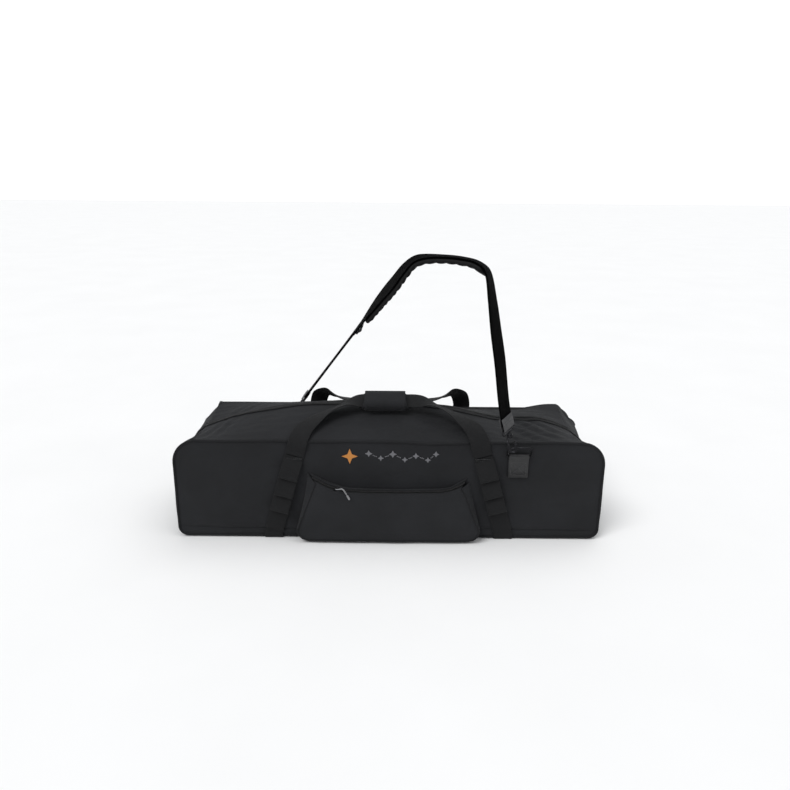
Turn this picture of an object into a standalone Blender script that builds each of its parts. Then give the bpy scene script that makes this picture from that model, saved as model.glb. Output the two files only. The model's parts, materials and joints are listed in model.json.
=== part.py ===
"""Soft carry case for a telescope tripod: a long padded bag with a ridge zip, an outside
pocket, two webbing handles and a clip-on shoulder strap.

Metres, +Z up. X runs along the case and -Y is the front. The origin is the centre of the
base panel's underside. The left and right of a name are those of a person facing the front.
"""
from math import cos, pi, radians, sin, sqrt

import bmesh
import bpy
from mathutils import Matrix, Vector

# ---- driving dimensions -------------------------------------------------------------
LENGTH = 0.889            # end panel to end panel
DEPTH = 0.250             # front panel to back panel
HEIGHT = 0.211            # floor to the top seams
CROWN = 0.040             # how far the ridge zip rises above the top seams
TOP_RADIUS = 0.050        # upper corners of the end panels
BASE_RADIUS = 0.016       # lower corners of the front and back panels
GAP = 0.0003              # clearance between pieces that touch
FABRIC = 0.0026           # coated polyester with its backing
FOAM = 0.0075             # foam liner
BOARD = 0.0030            # base stiffener
PIPING_R = 0.0023         # piping cord in its fabric cover
END_BULGE = 0.008         # how far an end panel stands outside the piping
FLAP_END = LENGTH / 2 - 0.0595   # half-length of the two opening top flaps
WEBBING = 0.038           # width of all the webbing
WEB = 0.0014              # its thickness
ZIP_HALF = 0.012          # half-width of a zip tape
ZIP = 0.0016              # thickness of a zip with its coil
END_ZIP_LOW = 0.070       # where the ridge zip ends on the end panels
CHANNEL = 0.0006          # how far the bands press into the base panel

BAND_TOP = HEIGHT - 0.031 # where the carrying webbing leaves the panels
BAND_UPRIGHT = 0.012      # the webbing stands upright this far, then leans inwards
BAND_X_LOW = 0.236        # band centre at the base
BAND_X_FRONT = 0.1885     # band centre at its top, front
BAND_X_BACK = 0.165       # band centre at its top, back
HANDLE_AXIS = BAND_TOP - 0.005   # height about which a loose handle swings
LOOP_SEAMS = (BAND_TOP / 3, BAND_TOP * 0.511, BAND_TOP * 0.711, BAND_TOP - 0.004)   # where a gear
                          # loop is sewn down
LOOP_RISE = 0.0045        # how far a gear loop stands off its band

POCKET_DEPTH = 0.031      # front panel to pocket face
POCKET_HEIGHT = 0.112
POCKET_TOP = 0.160        # half-width of the pocket face at its top
POCKET_BASE = 0.184       # half-width at its widest, near the floor
POCKET_RADIUS = 0.022

WRAP_PLACE = (-0.009, -0.034, 0.268)   # middle of the grip, before fitted() places it
WRAP_TILT = radians(25)
WRAP_LENGTH = 0.096
WRAP_WIDTH = WEBBING + 0.010
WRAP_THICK = 0.024

RING_X_FRONT = 0.2585     # D-ring tab centre, right of the front handle
RING_X_BACK = 0.2508      # the other one, left of the back handle
TAB_WIDTH = WEBBING + 0.002
TAB_HEIGHT = 0.046
RING_WIDTH = WEBBING + 0.004
RING_OUT = 0.0145         # how far the ring leans out from its bar
RING_RISE = 0.0225        # how far it rises above its bar
RING_CORNER = 0.010
RING_R = 0.0022
LEAN_FRONT = radians(15)  # the strap's pull, from upright, along the case
LEAN_BACK = radians(37)
TAB_TOP_FRONT = HEIGHT - 0.028
TAB_TOP_BACK = HEIGHT - 0.061

STRAP = 0.0028            # two layers of webbing, sewn
HOOK_LENGTH = 0.034
HOOK_THICK = 0.0050
EYE_HEIGHT = 0.013
PAD_WIDTH = WEBBING + 0.018
PAD_THICK = 0.011
ADJUSTER_LENGTH = 0.024

CHARCOAL = (0.020, 0.021, 0.024)
BLACK = (0.010, 0.010, 0.011)
VINYL = (0.060, 0.060, 0.064)
FOAM_GREY = (0.080, 0.080, 0.085)
METAL = (0.030, 0.030, 0.032)
PULL_GREY = (0.450, 0.450, 0.460)

HALF_L = LENGTH / 2
HALF_D = DEPTH / 2
PANEL_HALF_L = HALF_L - END_BULGE
RIM = 2 * PIPING_R + 2 * GAP           # the border that the piping takes round a panel
GUSSET_HALF = HALF_D - RIM             # end, base and top pieces lie between the pipings
FLAP_RISE = 0.0005 + FABRIC            # top of a flap's edge above the top seam
FOAM_STEP = DEPTH * 0.008              # from a flap's cloth down to its foam


def fitted(place):
    """Move a point of a route that was drawn for a case 250 mm deep and 211 mm high, with a
    40 mm crown, so that it keeps its distance from the case."""
    x, y, z = place
    lie = max(0.0, 1 - abs(y) / 0.125)
    spread = (HALF_D - 0.125) * min(1.0, abs(y) / 0.125)
    out = spread if y > 0 else -spread
    return Vector((x, y + out, z + HEIGHT - 0.211 + (CROWN - 0.040) * min(1.0, 2 * lie)))


def clear_scene():
    for item in list(bpy.data.objects):
        bpy.data.objects.remove(item, do_unlink=True)


def material(name, colour, roughness=0.8, metallic=0.0):
    made = bpy.data.materials.new(name)
    made.use_nodes = True
    shader = made.node_tree.nodes["Principled BSDF"]
    shader.inputs["Base Color"].default_value = (*colour, 1)
    shader.inputs["Roughness"].default_value = roughness
    shader.inputs["Metallic"].default_value = metallic
    return made


def pivot(name, place):
    """An empty on a joint's axis, which carries the pieces that move with it."""
    empty = bpy.data.objects.new(name, None)
    empty.location = place
    bpy.context.collection.objects.link(empty)
    return empty


def finish(name, shape, finish_material, carrier=None, smooth=False):
    """Turn a bmesh in the case's frame into a named object, carried by a pivot if it moves."""
    bmesh.ops.remove_doubles(shape, verts=shape.verts, dist=0.00002)
    bmesh.ops.recalc_face_normals(shape, faces=shape.faces)
    mesh = bpy.data.meshes.new(name)
    shape.to_mesh(mesh)
    shape.free()
    mesh.materials.append(finish_material)
    made = bpy.data.objects.new(name, mesh)
    bpy.context.collection.objects.link(made)
    if carrier is not None:
        mesh.transform(Matrix.Translation(-carrier.location))
        made.parent = carrier
    if smooth:
        mesh.shade_smooth()
        mesh.set_sharp_from_angle(angle=radians(40))
    return made


def stack(shape, rings, closed=False):
    """Join rings of points, one after another, into a closed body."""
    rows = [[shape.verts.new(point) for point in ring] for ring in rings]
    count = len(rows[0])
    pairs = list(zip(rows, rows[1:]))
    if closed:
        pairs.append((rows[-1], rows[0]))
    for low, high in pairs:
        for i in range(count):
            j = (i + 1) % count
            shape.faces.new((low[i], low[j], high[j], high[i]))
    if not closed:
        shape.faces.new(rows[0][::-1])
        shape.faces.new(rows[-1])


def frame_of(axis):
    """The function that places a flat outline's (u, v) at a depth along an axis."""
    return {"X": lambda u, v, w: Vector((w, u, v)),
            "Y": lambda u, v, w: Vector((u, w, v)),
            "Z": lambda u, v, w: Vector((u, v, w))}[axis]


def prism(name, outline, low, high, axis, look, carrier=None, place=None):
    """An outline pushed along an axis; place then moves it from its own frame to the case's."""
    put = frame_of(axis)
    shape = bmesh.new()
    stack(shape, [[put(u, v, w) for u, v in outline] for w in (low, high)])
    if place is not None:
        shape.transform(place)
    return finish(name, shape, look, carrier)


def frame_plate(name, outer, inner, low, high, axis, look, carrier=None, place=None):
    """A plate with one hole; both outlines have the same number of points."""
    put = frame_of(axis)
    shape = bmesh.new()
    corners = ((outer, low), (outer, high), (inner, high), (inner, low))
    sections = [[put(*outline[i], w) for outline, w in corners] for i in range(len(outer))]
    stack(shape, sections, closed=True)
    if place is not None:
        shape.transform(place)
    return finish(name, shape, look, carrier)


def arc(centre, radius, start, stop, steps):
    """Points of an arc in degrees, both ends counted."""
    turns = [radians(start + (stop - start) * i / steps) for i in range(steps + 1)]
    return [(centre[0] + radius * cos(t), centre[1] + radius * sin(t)) for t in turns]


def round_box(half_u, low, high, radius_low, radius_high, steps=4):
    """A box outline with round corners, anticlockwise from its lower left."""
    corners = ((-half_u + radius_low, low + radius_low, radius_low, 180),
               (half_u - radius_low, low + radius_low, radius_low, 270),
               (half_u - radius_high, high - radius_high, radius_high, 0),
               (-half_u + radius_high, high - radius_high, radius_high, 90))
    points = []
    for u, v, radius, start in corners:
        points += arc((u, v), radius, start, start + 90, steps)
    return points


def thicken(path, thickness):
    """The outline of an open flat path given a thickness, mitred at its bends."""
    points = [Vector(point) for point in path]
    left, right = [], []
    for i, point in enumerate(points):
        before = (point - points[i - 1]).normalized() if i else None
        after = (points[i + 1] - point).normalized() if i + 1 < len(points) else None
        before, after = before or after, after or before
        normal = Vector((-before.y - after.y, before.x + after.x)).normalized()
        reach = thickness / 2 / normal.dot(Vector((-before.y, before.x)))
        left.append(tuple(point + normal * reach))
        right.append(tuple(point - normal * reach))
    return left + right[::-1]


def ribbon(name, points, normals, width, thickness, look, carrier=None, lift=0.0):
    """A flat strap along points in space. The normals say which way its face looks, and
    lift moves it that way."""
    points = [Vector(point) for point in points]
    sections = []
    for i, point in enumerate(points):
        ahead = points[min(i + 1, len(points) - 1)] - points[max(i - 1, 0)]
        across = ahead.cross(Vector(normals[i])).normalized()
        out = across.cross(ahead).normalized()
        middle = point + out * lift
        side, face = across * (width / 2), out * (thickness / 2)
        sections.append([middle - side - face, middle + side - face,
                         middle + side + face, middle - side + face])
    shape = bmesh.new()
    stack(shape, sections)
    return finish(name, shape, look, carrier)


def tube(name, points, radius, look, carrier=None, cyclic=True):
    """A round cord or wire along points in space."""
    curve = bpy.data.curves.new(name + "_path", "CURVE")
    curve.dimensions = "3D"
    curve.bevel_depth = radius
    curve.bevel_resolution = 1
    curve.use_fill_caps = not cyclic
    spline = curve.splines.new("POLY")
    spline.points.add(len(points) - 1)
    for knot, point in zip(spline.points, points):
        knot.co = (*point, 1)
    spline.use_cyclic_u = cyclic
    made = bpy.data.objects.new(name, curve)
    bpy.context.collection.objects.link(made)
    curve.materials.append(look)
    if carrier is not None:
        curve.transform(Matrix.Translation(-carrier.location))
        made.parent = carrier
    return made


def smooth_route(points, steps):
    """A smooth curve through points, with a number of steps between neighbours."""
    points = [Vector(point) for point in points]
    ends = [2 * points[0] - points[1], *points, 2 * points[-1] - points[-2]]
    route = []
    for a, b, c, d in zip(ends, ends[1:], ends[2:], ends[3:]):
        for step in range(steps):
            t = step / steps
            route.append(0.5 * (2 * b + (c - a) * t + (2 * a - 5 * b + 4 * c - d) * t ** 2
                                + (3 * b - a - 3 * c + d) * t ** 3))
    return route + [points[-1]]


# ---- the case's body ----------------------------------------------------------------
def panel_outline(inset):
    """The outline of the front and back panels, inset from the case's outline."""
    return round_box(PANEL_HALF_L - inset, inset, HEIGHT - inset,
                     BASE_RADIUS, TOP_RADIUS - inset, 5)


def build_panels(looks):
    """Front and back panels with their foam and the piping round them."""
    for side, name in ((-1, "front"), (1, "back")):
        outer = side * HALF_D
        inner = side * (HALF_D - FABRIC)
        prism(name + "_panel", panel_outline(RIM), outer, inner, "Y", looks["shell"])
        foam_outline = panel_outline(RIM + FABRIC + FOAM + 2 * GAP)
        foam_outer = inner - side * GAP
        prism(name + "_foam", foam_outline, foam_outer, foam_outer - side * FOAM, "Y",
              looks["foam"])
        piping_y = side * (HALF_D - PIPING_R - GAP)
        route = [(u, piping_y, v) for u, v in panel_outline(PIPING_R + GAP)]
        tube(name + "_piping", route, PIPING_R, looks["piping"])


def end_path(inset, low, stop_x):
    """One end of the case seen from the front: up the end panel and over its corner."""
    radius = TOP_RADIUS - inset
    path = [(HALF_L - inset, low)]
    path += arc((HALF_L - TOP_RADIUS, HEIGHT - TOP_RADIUS), radius, 0, 90, 6)
    return path + [(stop_x, HEIGHT - inset)]


def base_section(half):
    """The base panel seen from the front, with a channel over each band."""
    section = [(-half, 0.0)]
    for centre in (-BAND_X_LOW, BAND_X_LOW):
        near, far = centre - WEBBING / 2 - GAP, centre + WEBBING / 2 + GAP
        section += [(near, 0.0), (near, CHANNEL), (far, CHANNEL), (far, 0.0)]
    return section + [(half, 0.0), (half, FABRIC), (-half, FABRIC)]


def build_base(looks):
    half = PANEL_HALF_L - BASE_RADIUS
    layers = (("base_panel", FABRIC, half, GUSSET_HALF, "shell"),
              ("base_board", BOARD, half - 0.010, GUSSET_HALF - 0.010, "board"),
              ("base_foam", FOAM, half - 0.010, GUSSET_HALF - 0.012, "foam"))
    low = 0.0
    for name, thickness, half_x, half_y, look in layers:
        if name == "base_panel":
            prism(name, base_section(half_x), -half_y, half_y, "Y", looks[look])
        else:
            outline = round_box(half_x, -half_y, half_y, 0.004, 0.004, 2)
            prism(name, outline, low, low + thickness, "Z", looks[look])
        low += thickness + GAP


def build_ends(looks):
    """End panels that turn over the upper corners, their foam, and the ends of the zip."""
    foot = (PANEL_HALF_L - BASE_RADIUS + GAP, FABRIC / 2)
    stop_x = FLAP_END + 2 * GAP
    for side, name in ((-1, "left"), (1, "right")):
        wall = [foot, (HALF_L - FABRIC / 2 - 0.006, FABRIC / 2)]
        wall += end_path(FABRIC / 2, 0.012, stop_x)
        outline = [(side * u, v) for u, v in thicken(wall, FABRIC)]
        prism("end_panel_" + name, outline, -GUSSET_HALF, GUSSET_HALF, "Y", looks["shell"])
        inset = FABRIC + GAP + FOAM / 2
        lining = end_path(inset, 0.018, stop_x)
        outline = [(side * u, v) for u, v in thicken(lining, FOAM)]
        foam_half = HALF_D - FABRIC - FOAM - 3 * GAP
        prism("end_foam_" + name, outline, -foam_half, foam_half, "Y", looks["foam"])
        zip_path = end_path(-GAP - ZIP / 2, END_ZIP_LOW, stop_x)
        outline = [(side * u, v) for u, v in thicken(zip_path, ZIP)]
        prism("end_zip_" + name, outline, -ZIP_HALF, ZIP_HALF, "Y", looks["zip"])


def top_height(x, y):
    """Height of the closed top's outer face: an arch along the case and across it."""
    along = 1 - (x / (FLAP_END + 0.008)) ** 2
    across = max(0.0, 1 - (y / GUSSET_HALF) ** 2)
    return HEIGHT + FLAP_RISE + (CROWN - FLAP_RISE) * along * across


def arched_sheet(name, half_x, y_from, y_to, drop_top, drop_low, look, carrier):
    """A sheet that follows the arched top, between two depths below its outer face."""
    columns, rows = 12, 4
    sections = []
    for i in range(columns + 1):
        x = -half_x + 2 * half_x * i / columns
        ys = [y_from + (y_to - y_from) * j / rows for j in range(rows + 1)]
        upper = [Vector((x, y, top_height(x, y) - drop_top)) for y in ys]
        lower = [Vector((x, y, top_height(x, y) - drop_low)) for y in reversed(ys)]
        sections.append(upper + lower)
    shape = bmesh.new()
    stack(shape, sections)
    return finish(name, shape, look, carrier)


def build_flaps(looks):
    """The two halves of the opening top, each with foam and one side of the ridge zip."""
    for side, name in ((-1, "front"), (1, "back")):
        hinge = pivot("flap_pivot_" + name, (0, side * (GUSSET_HALF + 0.001), HEIGHT + 0.0005))
        edge, ridge = side * GUSSET_HALF, side * 0.0005
        arched_sheet("top_flap_" + name, FLAP_END, edge, ridge, 0, FABRIC,
                     looks["shell"], hinge)
        foam_edge = side * (HALF_D - FABRIC - FOAM - 0.004)
        arched_sheet("flap_foam_" + name, FLAP_END - 0.006, foam_edge, side * 0.004,
                     FABRIC + FOAM_STEP, FABRIC + FOAM * 0.8, looks["foam"], hinge)
        arched_sheet("ridge_zip_" + name, FLAP_END, side * (ridge * side + ZIP_HALF), ridge,
                     -GAP - ZIP, -GAP, looks["zip"], hinge)


def build_end_sliders(looks):
    """Two zip sliders, parked at the lower ends of the ridge zip, with hanging pulls."""
    for side, name in ((-1, "left"), (1, "right")):
        x = side * (HALF_L + ZIP + 3 * GAP)
        z = END_ZIP_LOW + 0.010
        carrier = pivot("zip_slider_pivot_" + name, (x, 0, z))
        outline = [(-0.0035, z - 0.006), (0.0035, z - 0.006), (0.0050, z + 0.001),
                   (0.0050, z + 0.006), (-0.0050, z + 0.006), (-0.0050, z + 0.001)]
        prism("zip_slider_" + name, outline, x, x + side * 0.0032, "X", looks["metal"], carrier)
        pull_x = x + side * 0.0046
        swing = pivot("zip_pull_pivot_" + name, (pull_x, 0, z))
        blade = round_box(0.0032, z - 0.028, z + 0.001, 0.0025, 0.0015, 2)
        prism("zip_pull_" + name, blade, pull_x - side * 0.0008, pull_x + side * 0.0008, "X",
              looks["metal"], swing)


# ---- the pocket ---------------------------------------------------------------------
def pocket_side(inset):
    """The pocket face's left edge, from its top down and round to the floor side."""
    widest = POCKET_BASE - inset
    centre = (-widest + POCKET_RADIUS, 0.0045 + inset + POCKET_RADIUS)
    return [(-POCKET_TOP + inset, POCKET_HEIGHT - inset), *arc(centre, POCKET_RADIUS, 180, 270, 4)]


def pocket_path(inset):
    left = pocket_side(inset)
    return left + [(-u, v) for u, v in reversed(left)]


def build_pocket(looks):
    face_y = -HALF_D - POCKET_DEPTH
    prism("pocket_face", pocket_path(0.0034), face_y, face_y + 0.002, "Y", looks["shell"])
    gusset = thicken(pocket_path(0.0010), 0.0020)
    prism("pocket_gusset", gusset, face_y + 0.002 + GAP, -HALF_D - GAP, "Y", looks["shell"])
    piping = [(u, face_y + 0.0006, v) for u, v in pocket_path(0.0014)]
    tube("pocket_piping", piping, 0.0013, looks["piping"], cyclic=False)
    band_top = POCKET_HEIGHT - 0.0010
    outline = [(-HALF_D - 0.0006, band_top + 0.0015), (-HALF_D - 0.0006, band_top - 0.0015),
               (face_y + 0.0026, band_top - 0.0015), (face_y + 0.0026, band_top + 0.0015)]
    half = POCKET_TOP - 0.0030
    prism("pocket_zip", outline, -half, half, "X", looks["zip"])
    slider_x = -0.105
    y = face_y + 0.013
    z = band_top + 0.0015 + GAP
    carrier = pivot("pocket_slider_pivot", (slider_x, y, z))
    outline = [(slider_x - 0.006, y - 0.005), (slider_x + 0.001, y - 0.005),
               (slider_x + 0.006, y - 0.0035), (slider_x + 0.006, y + 0.0035),
               (slider_x + 0.001, y + 0.005), (slider_x - 0.006, y + 0.005)]
    prism("pocket_slider", outline, z, z + 0.0030, "Z", looks["metal"], carrier)
    pull_z = z + 0.0044
    swing = pivot("pocket_pull_pivot", (slider_x, y, pull_z))
    blade = [(slider_x - 0.001, y - 0.0028), (slider_x + 0.024, y - 0.0035),
             (slider_x + 0.024, y + 0.0035), (slider_x - 0.001, y + 0.0028)]
    prism("pocket_pull", blade, pull_z - 0.0007, pull_z + 0.0007, "Z", looks["pull"], swing)


# ---- webbing and handles ------------------------------------------------------------
def band_x(height, side):
    top = BAND_X_FRONT if side < 0 else BAND_X_BACK
    lean = (BAND_X_LOW - top) / (BAND_TOP - BAND_UPRIGHT)
    return BAND_X_LOW - lean * max(0.0, height - BAND_UPRIGHT)


def build_bands(looks):
    """Carrying webbing: down the front, under the base and up the back."""
    off = GAP + WEB / 2
    for hand, name in ((-1, "left"), (1, "right")):
        route, normals = [], []
        for side in (-1, 1):
            leg = [(BAND_TOP, HALF_D + off), (BAND_UPRIGHT, HALF_D + off), (0.004, HALF_D + off),
                   (0.0001, HALF_D - 0.0008 + off), (-off, HALF_D - 0.005)]
            part = [((hand * band_x(z, side), side * y, z), (0, side * n, n - 1))
                    for (z, y), n in zip(leg, (1, 1, 0.9, 0.5, 0))]
            for point, normal in part if side < 0 else reversed(part):
                route.append(point)
                normals.append(normal)
        ribbon("band_" + name, route, normals, WEBBING, WEB, looks["webbing"])
        for side, where in ((-1, "front"), (1, "back")):
            build_gear_loops(looks, hand, side, where + "_" + name)


def build_gear_loops(looks, hand, side, name):
    """A strip over the band, sewn down at each seam and standing off it in between."""
    route = []
    steps = 4
    for low, high in zip(LOOP_SEAMS, LOOP_SEAMS[1:]):
        for step in range(steps):
            z = low + (high - low) * step / steps
            rise = LOOP_RISE * sin(pi * step / steps)
            y = HALF_D + 2 * GAP + WEB * 1.5 + rise
            route.append((hand * band_x(z, side), side * y, z))
    top = LOOP_SEAMS[-1]
    route.append((hand * band_x(top, side), side * (HALF_D + 2 * GAP + WEB * 1.5), top))
    normals = [(0, side, 0)] * len(route)
    ribbon("gear_loops_" + name, route, normals, WEBBING, WEB, looks["webbing"])


# Half of each handle's route: over the top edge, along the closed top and up to the grip.
HANDLE_FRONT = ((0.1820, -0.1285, 0.2050), (0.1770, -0.1205, 0.2205), (0.1660, -0.0980, 0.2335),
                (0.1350, -0.0660, 0.2490), (0.0950, -0.0450, 0.2620), (0.0620, -0.0348, 0.2674),
                (0.0200, -0.0340, 0.2680))
HANDLE_BACK = ((0.1550, 0.1285, 0.2050), (0.1510, 0.1200, 0.2260), (0.1440, 0.1000, 0.2410),
               (0.1260, 0.0780, 0.2480), (0.0980, 0.0560, 0.2510), (0.0550, 0.0400, 0.2530),
               (0.0200, 0.0360, 0.2545))
HANDLE_LEAN = ((0, 1, 0), (0, 1, 0), (0, 1, 0.15), (0, 0.7, 0.7), (0, 0.45, 0.9),
               (0, 0.4226, 0.9063))


def handle_route(half):
    """A handle's whole route from one side's points, left to right, with its normals."""
    side = -1 if half[0][1] < 0 else 1
    y = side * (HALF_D + GAP + WEB / 2)
    leave = [(band_x(z, side), y, z) for z in (BAND_TOP + 0.004, BAND_TOP + 0.010)]
    half = leave + [fitted(point) for point in half]
    route = smooth_route(half, 2)
    lean = list(HANDLE_LEAN) + [HANDLE_LEAN[-1]] * (len(half) - len(HANDLE_LEAN))
    if side > 0:
        lean = lean[:4] + [(0, 0.3, 0.95)] * (len(half) - 4)
    tilt = smooth_route(lean, 2)
    left = [Vector((-x, y, z)) for x, y, z in route]
    right = [Vector((x, y, z)) for x, y, z in reversed(route)]
    normals = [Vector((0, side * n.y, n.z)) for n in tilt]
    return left + right, normals + normals[::-1]


def build_handles(looks):
    """Two webbing handles, and the padded grip that wraps the front one."""
    for name, half, side in (("front", HANDLE_FRONT, -1), ("back", HANDLE_BACK, 1)):
        swing = pivot("handle_pivot_" + name, (0, side * (HALF_D + 0.006), HANDLE_AXIS))
        points, normals = handle_route(half)
        ribbon("handle_" + name, points, normals, WEBBING, WEB, looks["webbing"], swing)
        if name == "front":
            build_wrap(looks, swing)


def build_wrap(looks, swing):
    turn = Matrix.Rotation(WRAP_TILT, 4, "X")
    place = Matrix.Translation(fitted(WRAP_PLACE)) @ turn
    half = WRAP_WIDTH / 2
    outer = round_box(half, -WRAP_THICK / 2, WRAP_THICK / 2, 0.008, 0.008, 3)
    slot_half = WRAP_WIDTH / 2 - 0.0035
    inner = round_box(slot_half, -0.0034, 0.0034, 0.001, 0.001, 3)
    ends = (-WRAP_LENGTH / 2, WRAP_LENGTH / 2)
    frame_plate("grip_wrap", outer, inner, *ends, "X", looks["shell"], swing, place)
    cover, corner = 0.0018, 0.008
    bend = corner + GAP + cover / 2
    turn_up = arc((-half + corner, WRAP_THICK / 2 - corner), bend, 90, 180, 4)
    top = WRAP_THICK / 2 - corner + bend
    skin = thicken([(half - 0.010, top), *turn_up, (-half + corner - bend, -0.004)], cover)
    hinge = pivot("grip_flap_pivot", place @ Vector((0, half - 0.010, top)))
    lip = WRAP_LENGTH / 2 - 0.004
    prism("grip_flap", skin, -lip, lip, "X", looks["shell"], hinge, place)


# ---- the shoulder strap -------------------------------------------------------------
# The strap's route, from the front hook over the shoulder pad to the back hook.
STRAP_ROUTE = ((0.2283, -0.1460, 0.2590), (0.2189, -0.1460, 0.3070), (0.2086, -0.1455, 0.3819),
               (0.1995, -0.1380, 0.4385), (0.1925, -0.1220, 0.4930), (0.1850, -0.1000, 0.5400),
               (0.1680, -0.0780, 0.5580), (0.1365, -0.0550, 0.5645), (0.0975, -0.0300, 0.5650),
               (0.0660, -0.0100, 0.5610), (0.0440, 0.0080, 0.5510), (0.0250, 0.0280, 0.5305),
               (0.0035, 0.0640, 0.4980), (-0.0190, 0.1060, 0.4650), (-0.0435, 0.1410, 0.4280))
LEG_TOP = (-0.0665, 0.1580, 0.3925)
LEG_END = (-0.2015, 0.1580, 0.2140)
PAD_FROM, PAD_TO = 10, 30       # the pad's ends, as steps along the smoothed route
STRAP_FACE = Vector((0.62, 0.78, 0))    # across the strap at its front end, which is turned


def leg_ends():
    """The straight left leg's ends. Its foot keeps its place over a wider or narrower ring."""
    wider = Vector(((WEBBING - 0.038) / 2, 0, 0))
    return fitted(LEG_TOP), fitted(LEG_END) + wider


def strap_route():
    top, end = leg_ends()
    points = smooth_route([fitted(point) for point in STRAP_ROUTE] + [top], 2)
    leg = [top + (end - top) * i / 3 for i in range(1, 4)]
    return points + leg


def strap_normals(points):
    """The strap faces the front at its right end and turns flat over the shoulder."""
    normals = []
    for i, point in enumerate(points):
        ahead = points[min(i + 1, len(points) - 1)] - points[max(i - 1, 0)]
        turned = min(1.0, max(0.0, (i - 4) / 12))
        across = STRAP_FACE.lerp(Vector((0, 1, 0)), turned * turned * (3 - 2 * turned))
        normals.append(ahead.cross(across) * -1)
    return normals


def strap_end_frame(contact, strap_end, across):
    """A frame at a ring: its Z runs along the hook to the strap, its X across the strap."""
    up = (strap_end - contact).normalized()
    side = (across - up * across.dot(up)).normalized()
    turned = Matrix((side, up.cross(side), up)).transposed().to_4x4()
    return Matrix.Translation(contact) @ turned


def ring_place(side):
    """The middle of a D-ring's straight bar, in its tab's fold."""
    x, tab_top = (RING_X_FRONT, TAB_TOP_FRONT) if side < 0 else (-RING_X_BACK, TAB_TOP_BACK)
    return Vector((x, side * (HALF_D + GAP + 0.0052), tab_top + 0.002))


def ring_point(side, u, v):
    """A point of the ring's plane, which leans out from the panel: v is 1 at its far bar."""
    return ring_place(side) + Vector((u, side * RING_OUT * v, RING_RISE * v))


def ring_contact(side):
    """Where the hook bears on the ring's corner, square to the strap's pull."""
    reach = sqrt(RING_OUT ** 2 + RING_RISE ** 2)
    lean = LEAN_FRONT if side < 0 else LEAN_BACK
    u = RING_WIDTH / 2 + RING_R - RING_CORNER * (1 - sin(lean))
    return ring_point(side, side * u, 1 - RING_CORNER * (1 - cos(lean)) / reach)


def build_ring(looks, side, name):
    """A sewn tab with a D-ring through its fold."""
    x, bar_y, bar_z = ring_place(side)
    bar_y *= side
    tab_low = bar_z - TAB_HEIGHT
    fold = [(HALF_D + GAP + 0.0007, tab_low), (HALF_D + GAP + 0.0007, bar_z - 0.005)]
    fold += arc((bar_y, bar_z), 0.0043, 190, -40, 7)
    fold += [(HALF_D + GAP + 0.0030, bar_z - 0.010), (HALF_D + GAP + 0.0030, tab_low)]
    outline = [(side * y, z) for y, z in thicken(fold, WEB)]
    prism("ring_tab_" + name, outline, x - TAB_WIDTH / 2, x + TAB_WIDTH / 2, "X",
          looks["webbing"])
    reach = sqrt(RING_OUT ** 2 + RING_RISE ** 2)
    outline = round_box(RING_WIDTH / 2 + RING_R, 0, reach, 0.004, RING_CORNER, 4)
    swing = pivot("ring_pivot_" + name, ring_place(side))
    tube("d_ring_" + name, [ring_point(side, u, v / reach) for u, v in outline], RING_R,
         looks["metal"], swing)


def hook_outline():
    """A snap hook seen from its side: barrel, stem and a bend that opens upwards."""
    bend, wire = 0.0070, 0.0044
    outer, inner = bend + wire / 2, bend - wire / 2
    stem = HOOK_LENGTH
    points = [(-0.0055, stem), (-0.0055, stem - 0.010), (-outer, stem - 0.016)]
    points += arc((0, 0), outer, 180, 360, 8)
    points += [(outer, 0.006), (inner, 0.006)]
    points += arc((0, 0), inner, 0, -180, 8)
    points += [(-inner, stem - 0.019), (0.0055, stem - 0.012), (0.0055, stem)]
    return points


def build_strap_end(looks, side, name, contact, strap_end, across, swing):
    """Hook, trigger, swivel eye and the vinyl tab that holds the strap to the eye."""
    place = strap_end_frame(contact, strap_end, across)
    hook_place = strap_end_frame(contact, strap_end, Vector((1, 0, 0)))
    outline = [(side * -u, v) for u, v in hook_outline()]
    prism("snap_hook_" + name, outline, -HOOK_THICK / 2, HOOK_THICK / 2, "X", looks["metal"],
          swing, hook_place)
    bolt = [(side * -u, v) for u, v in ((0.0050, 0.0064), (0.0090, 0.0064), (0.0090, 0.0150),
                                        (0.0050, 0.0150))]
    latch = pivot("trigger_pivot_" + name, contact)
    prism("hook_trigger_" + name, bolt, -0.0018, 0.0018, "X", looks["metal"], latch, hook_place)
    low = HOOK_LENGTH + GAP
    outer = round_box(WEBBING / 2 + 0.0045, low, low + EYE_HEIGHT, 0.003, 0.003, 2)
    inner = round_box(WEBBING / 2 + 0.0015, low + 0.003, low + EYE_HEIGHT - 0.003,
                      0.0015, 0.0015, 2)
    frame_plate("swivel_eye_" + name, outer, inner, -0.0018, 0.0018, "Y", looks["metal"],
                swing, place)
    bar = low + EYE_HEIGHT - 0.0015
    half = 0.0035
    fold = [(half, bar + 0.022), (half, bar), *arc((0, bar), half, -20, -160, 5),
            (-half, bar), (-half, bar + 0.022)]
    tab = thicken(fold, 0.0013)
    prism("strap_tab_" + name, tab, -WEBBING / 2, WEBBING / 2, "X", looks["vinyl"],
          swing, place)


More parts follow.
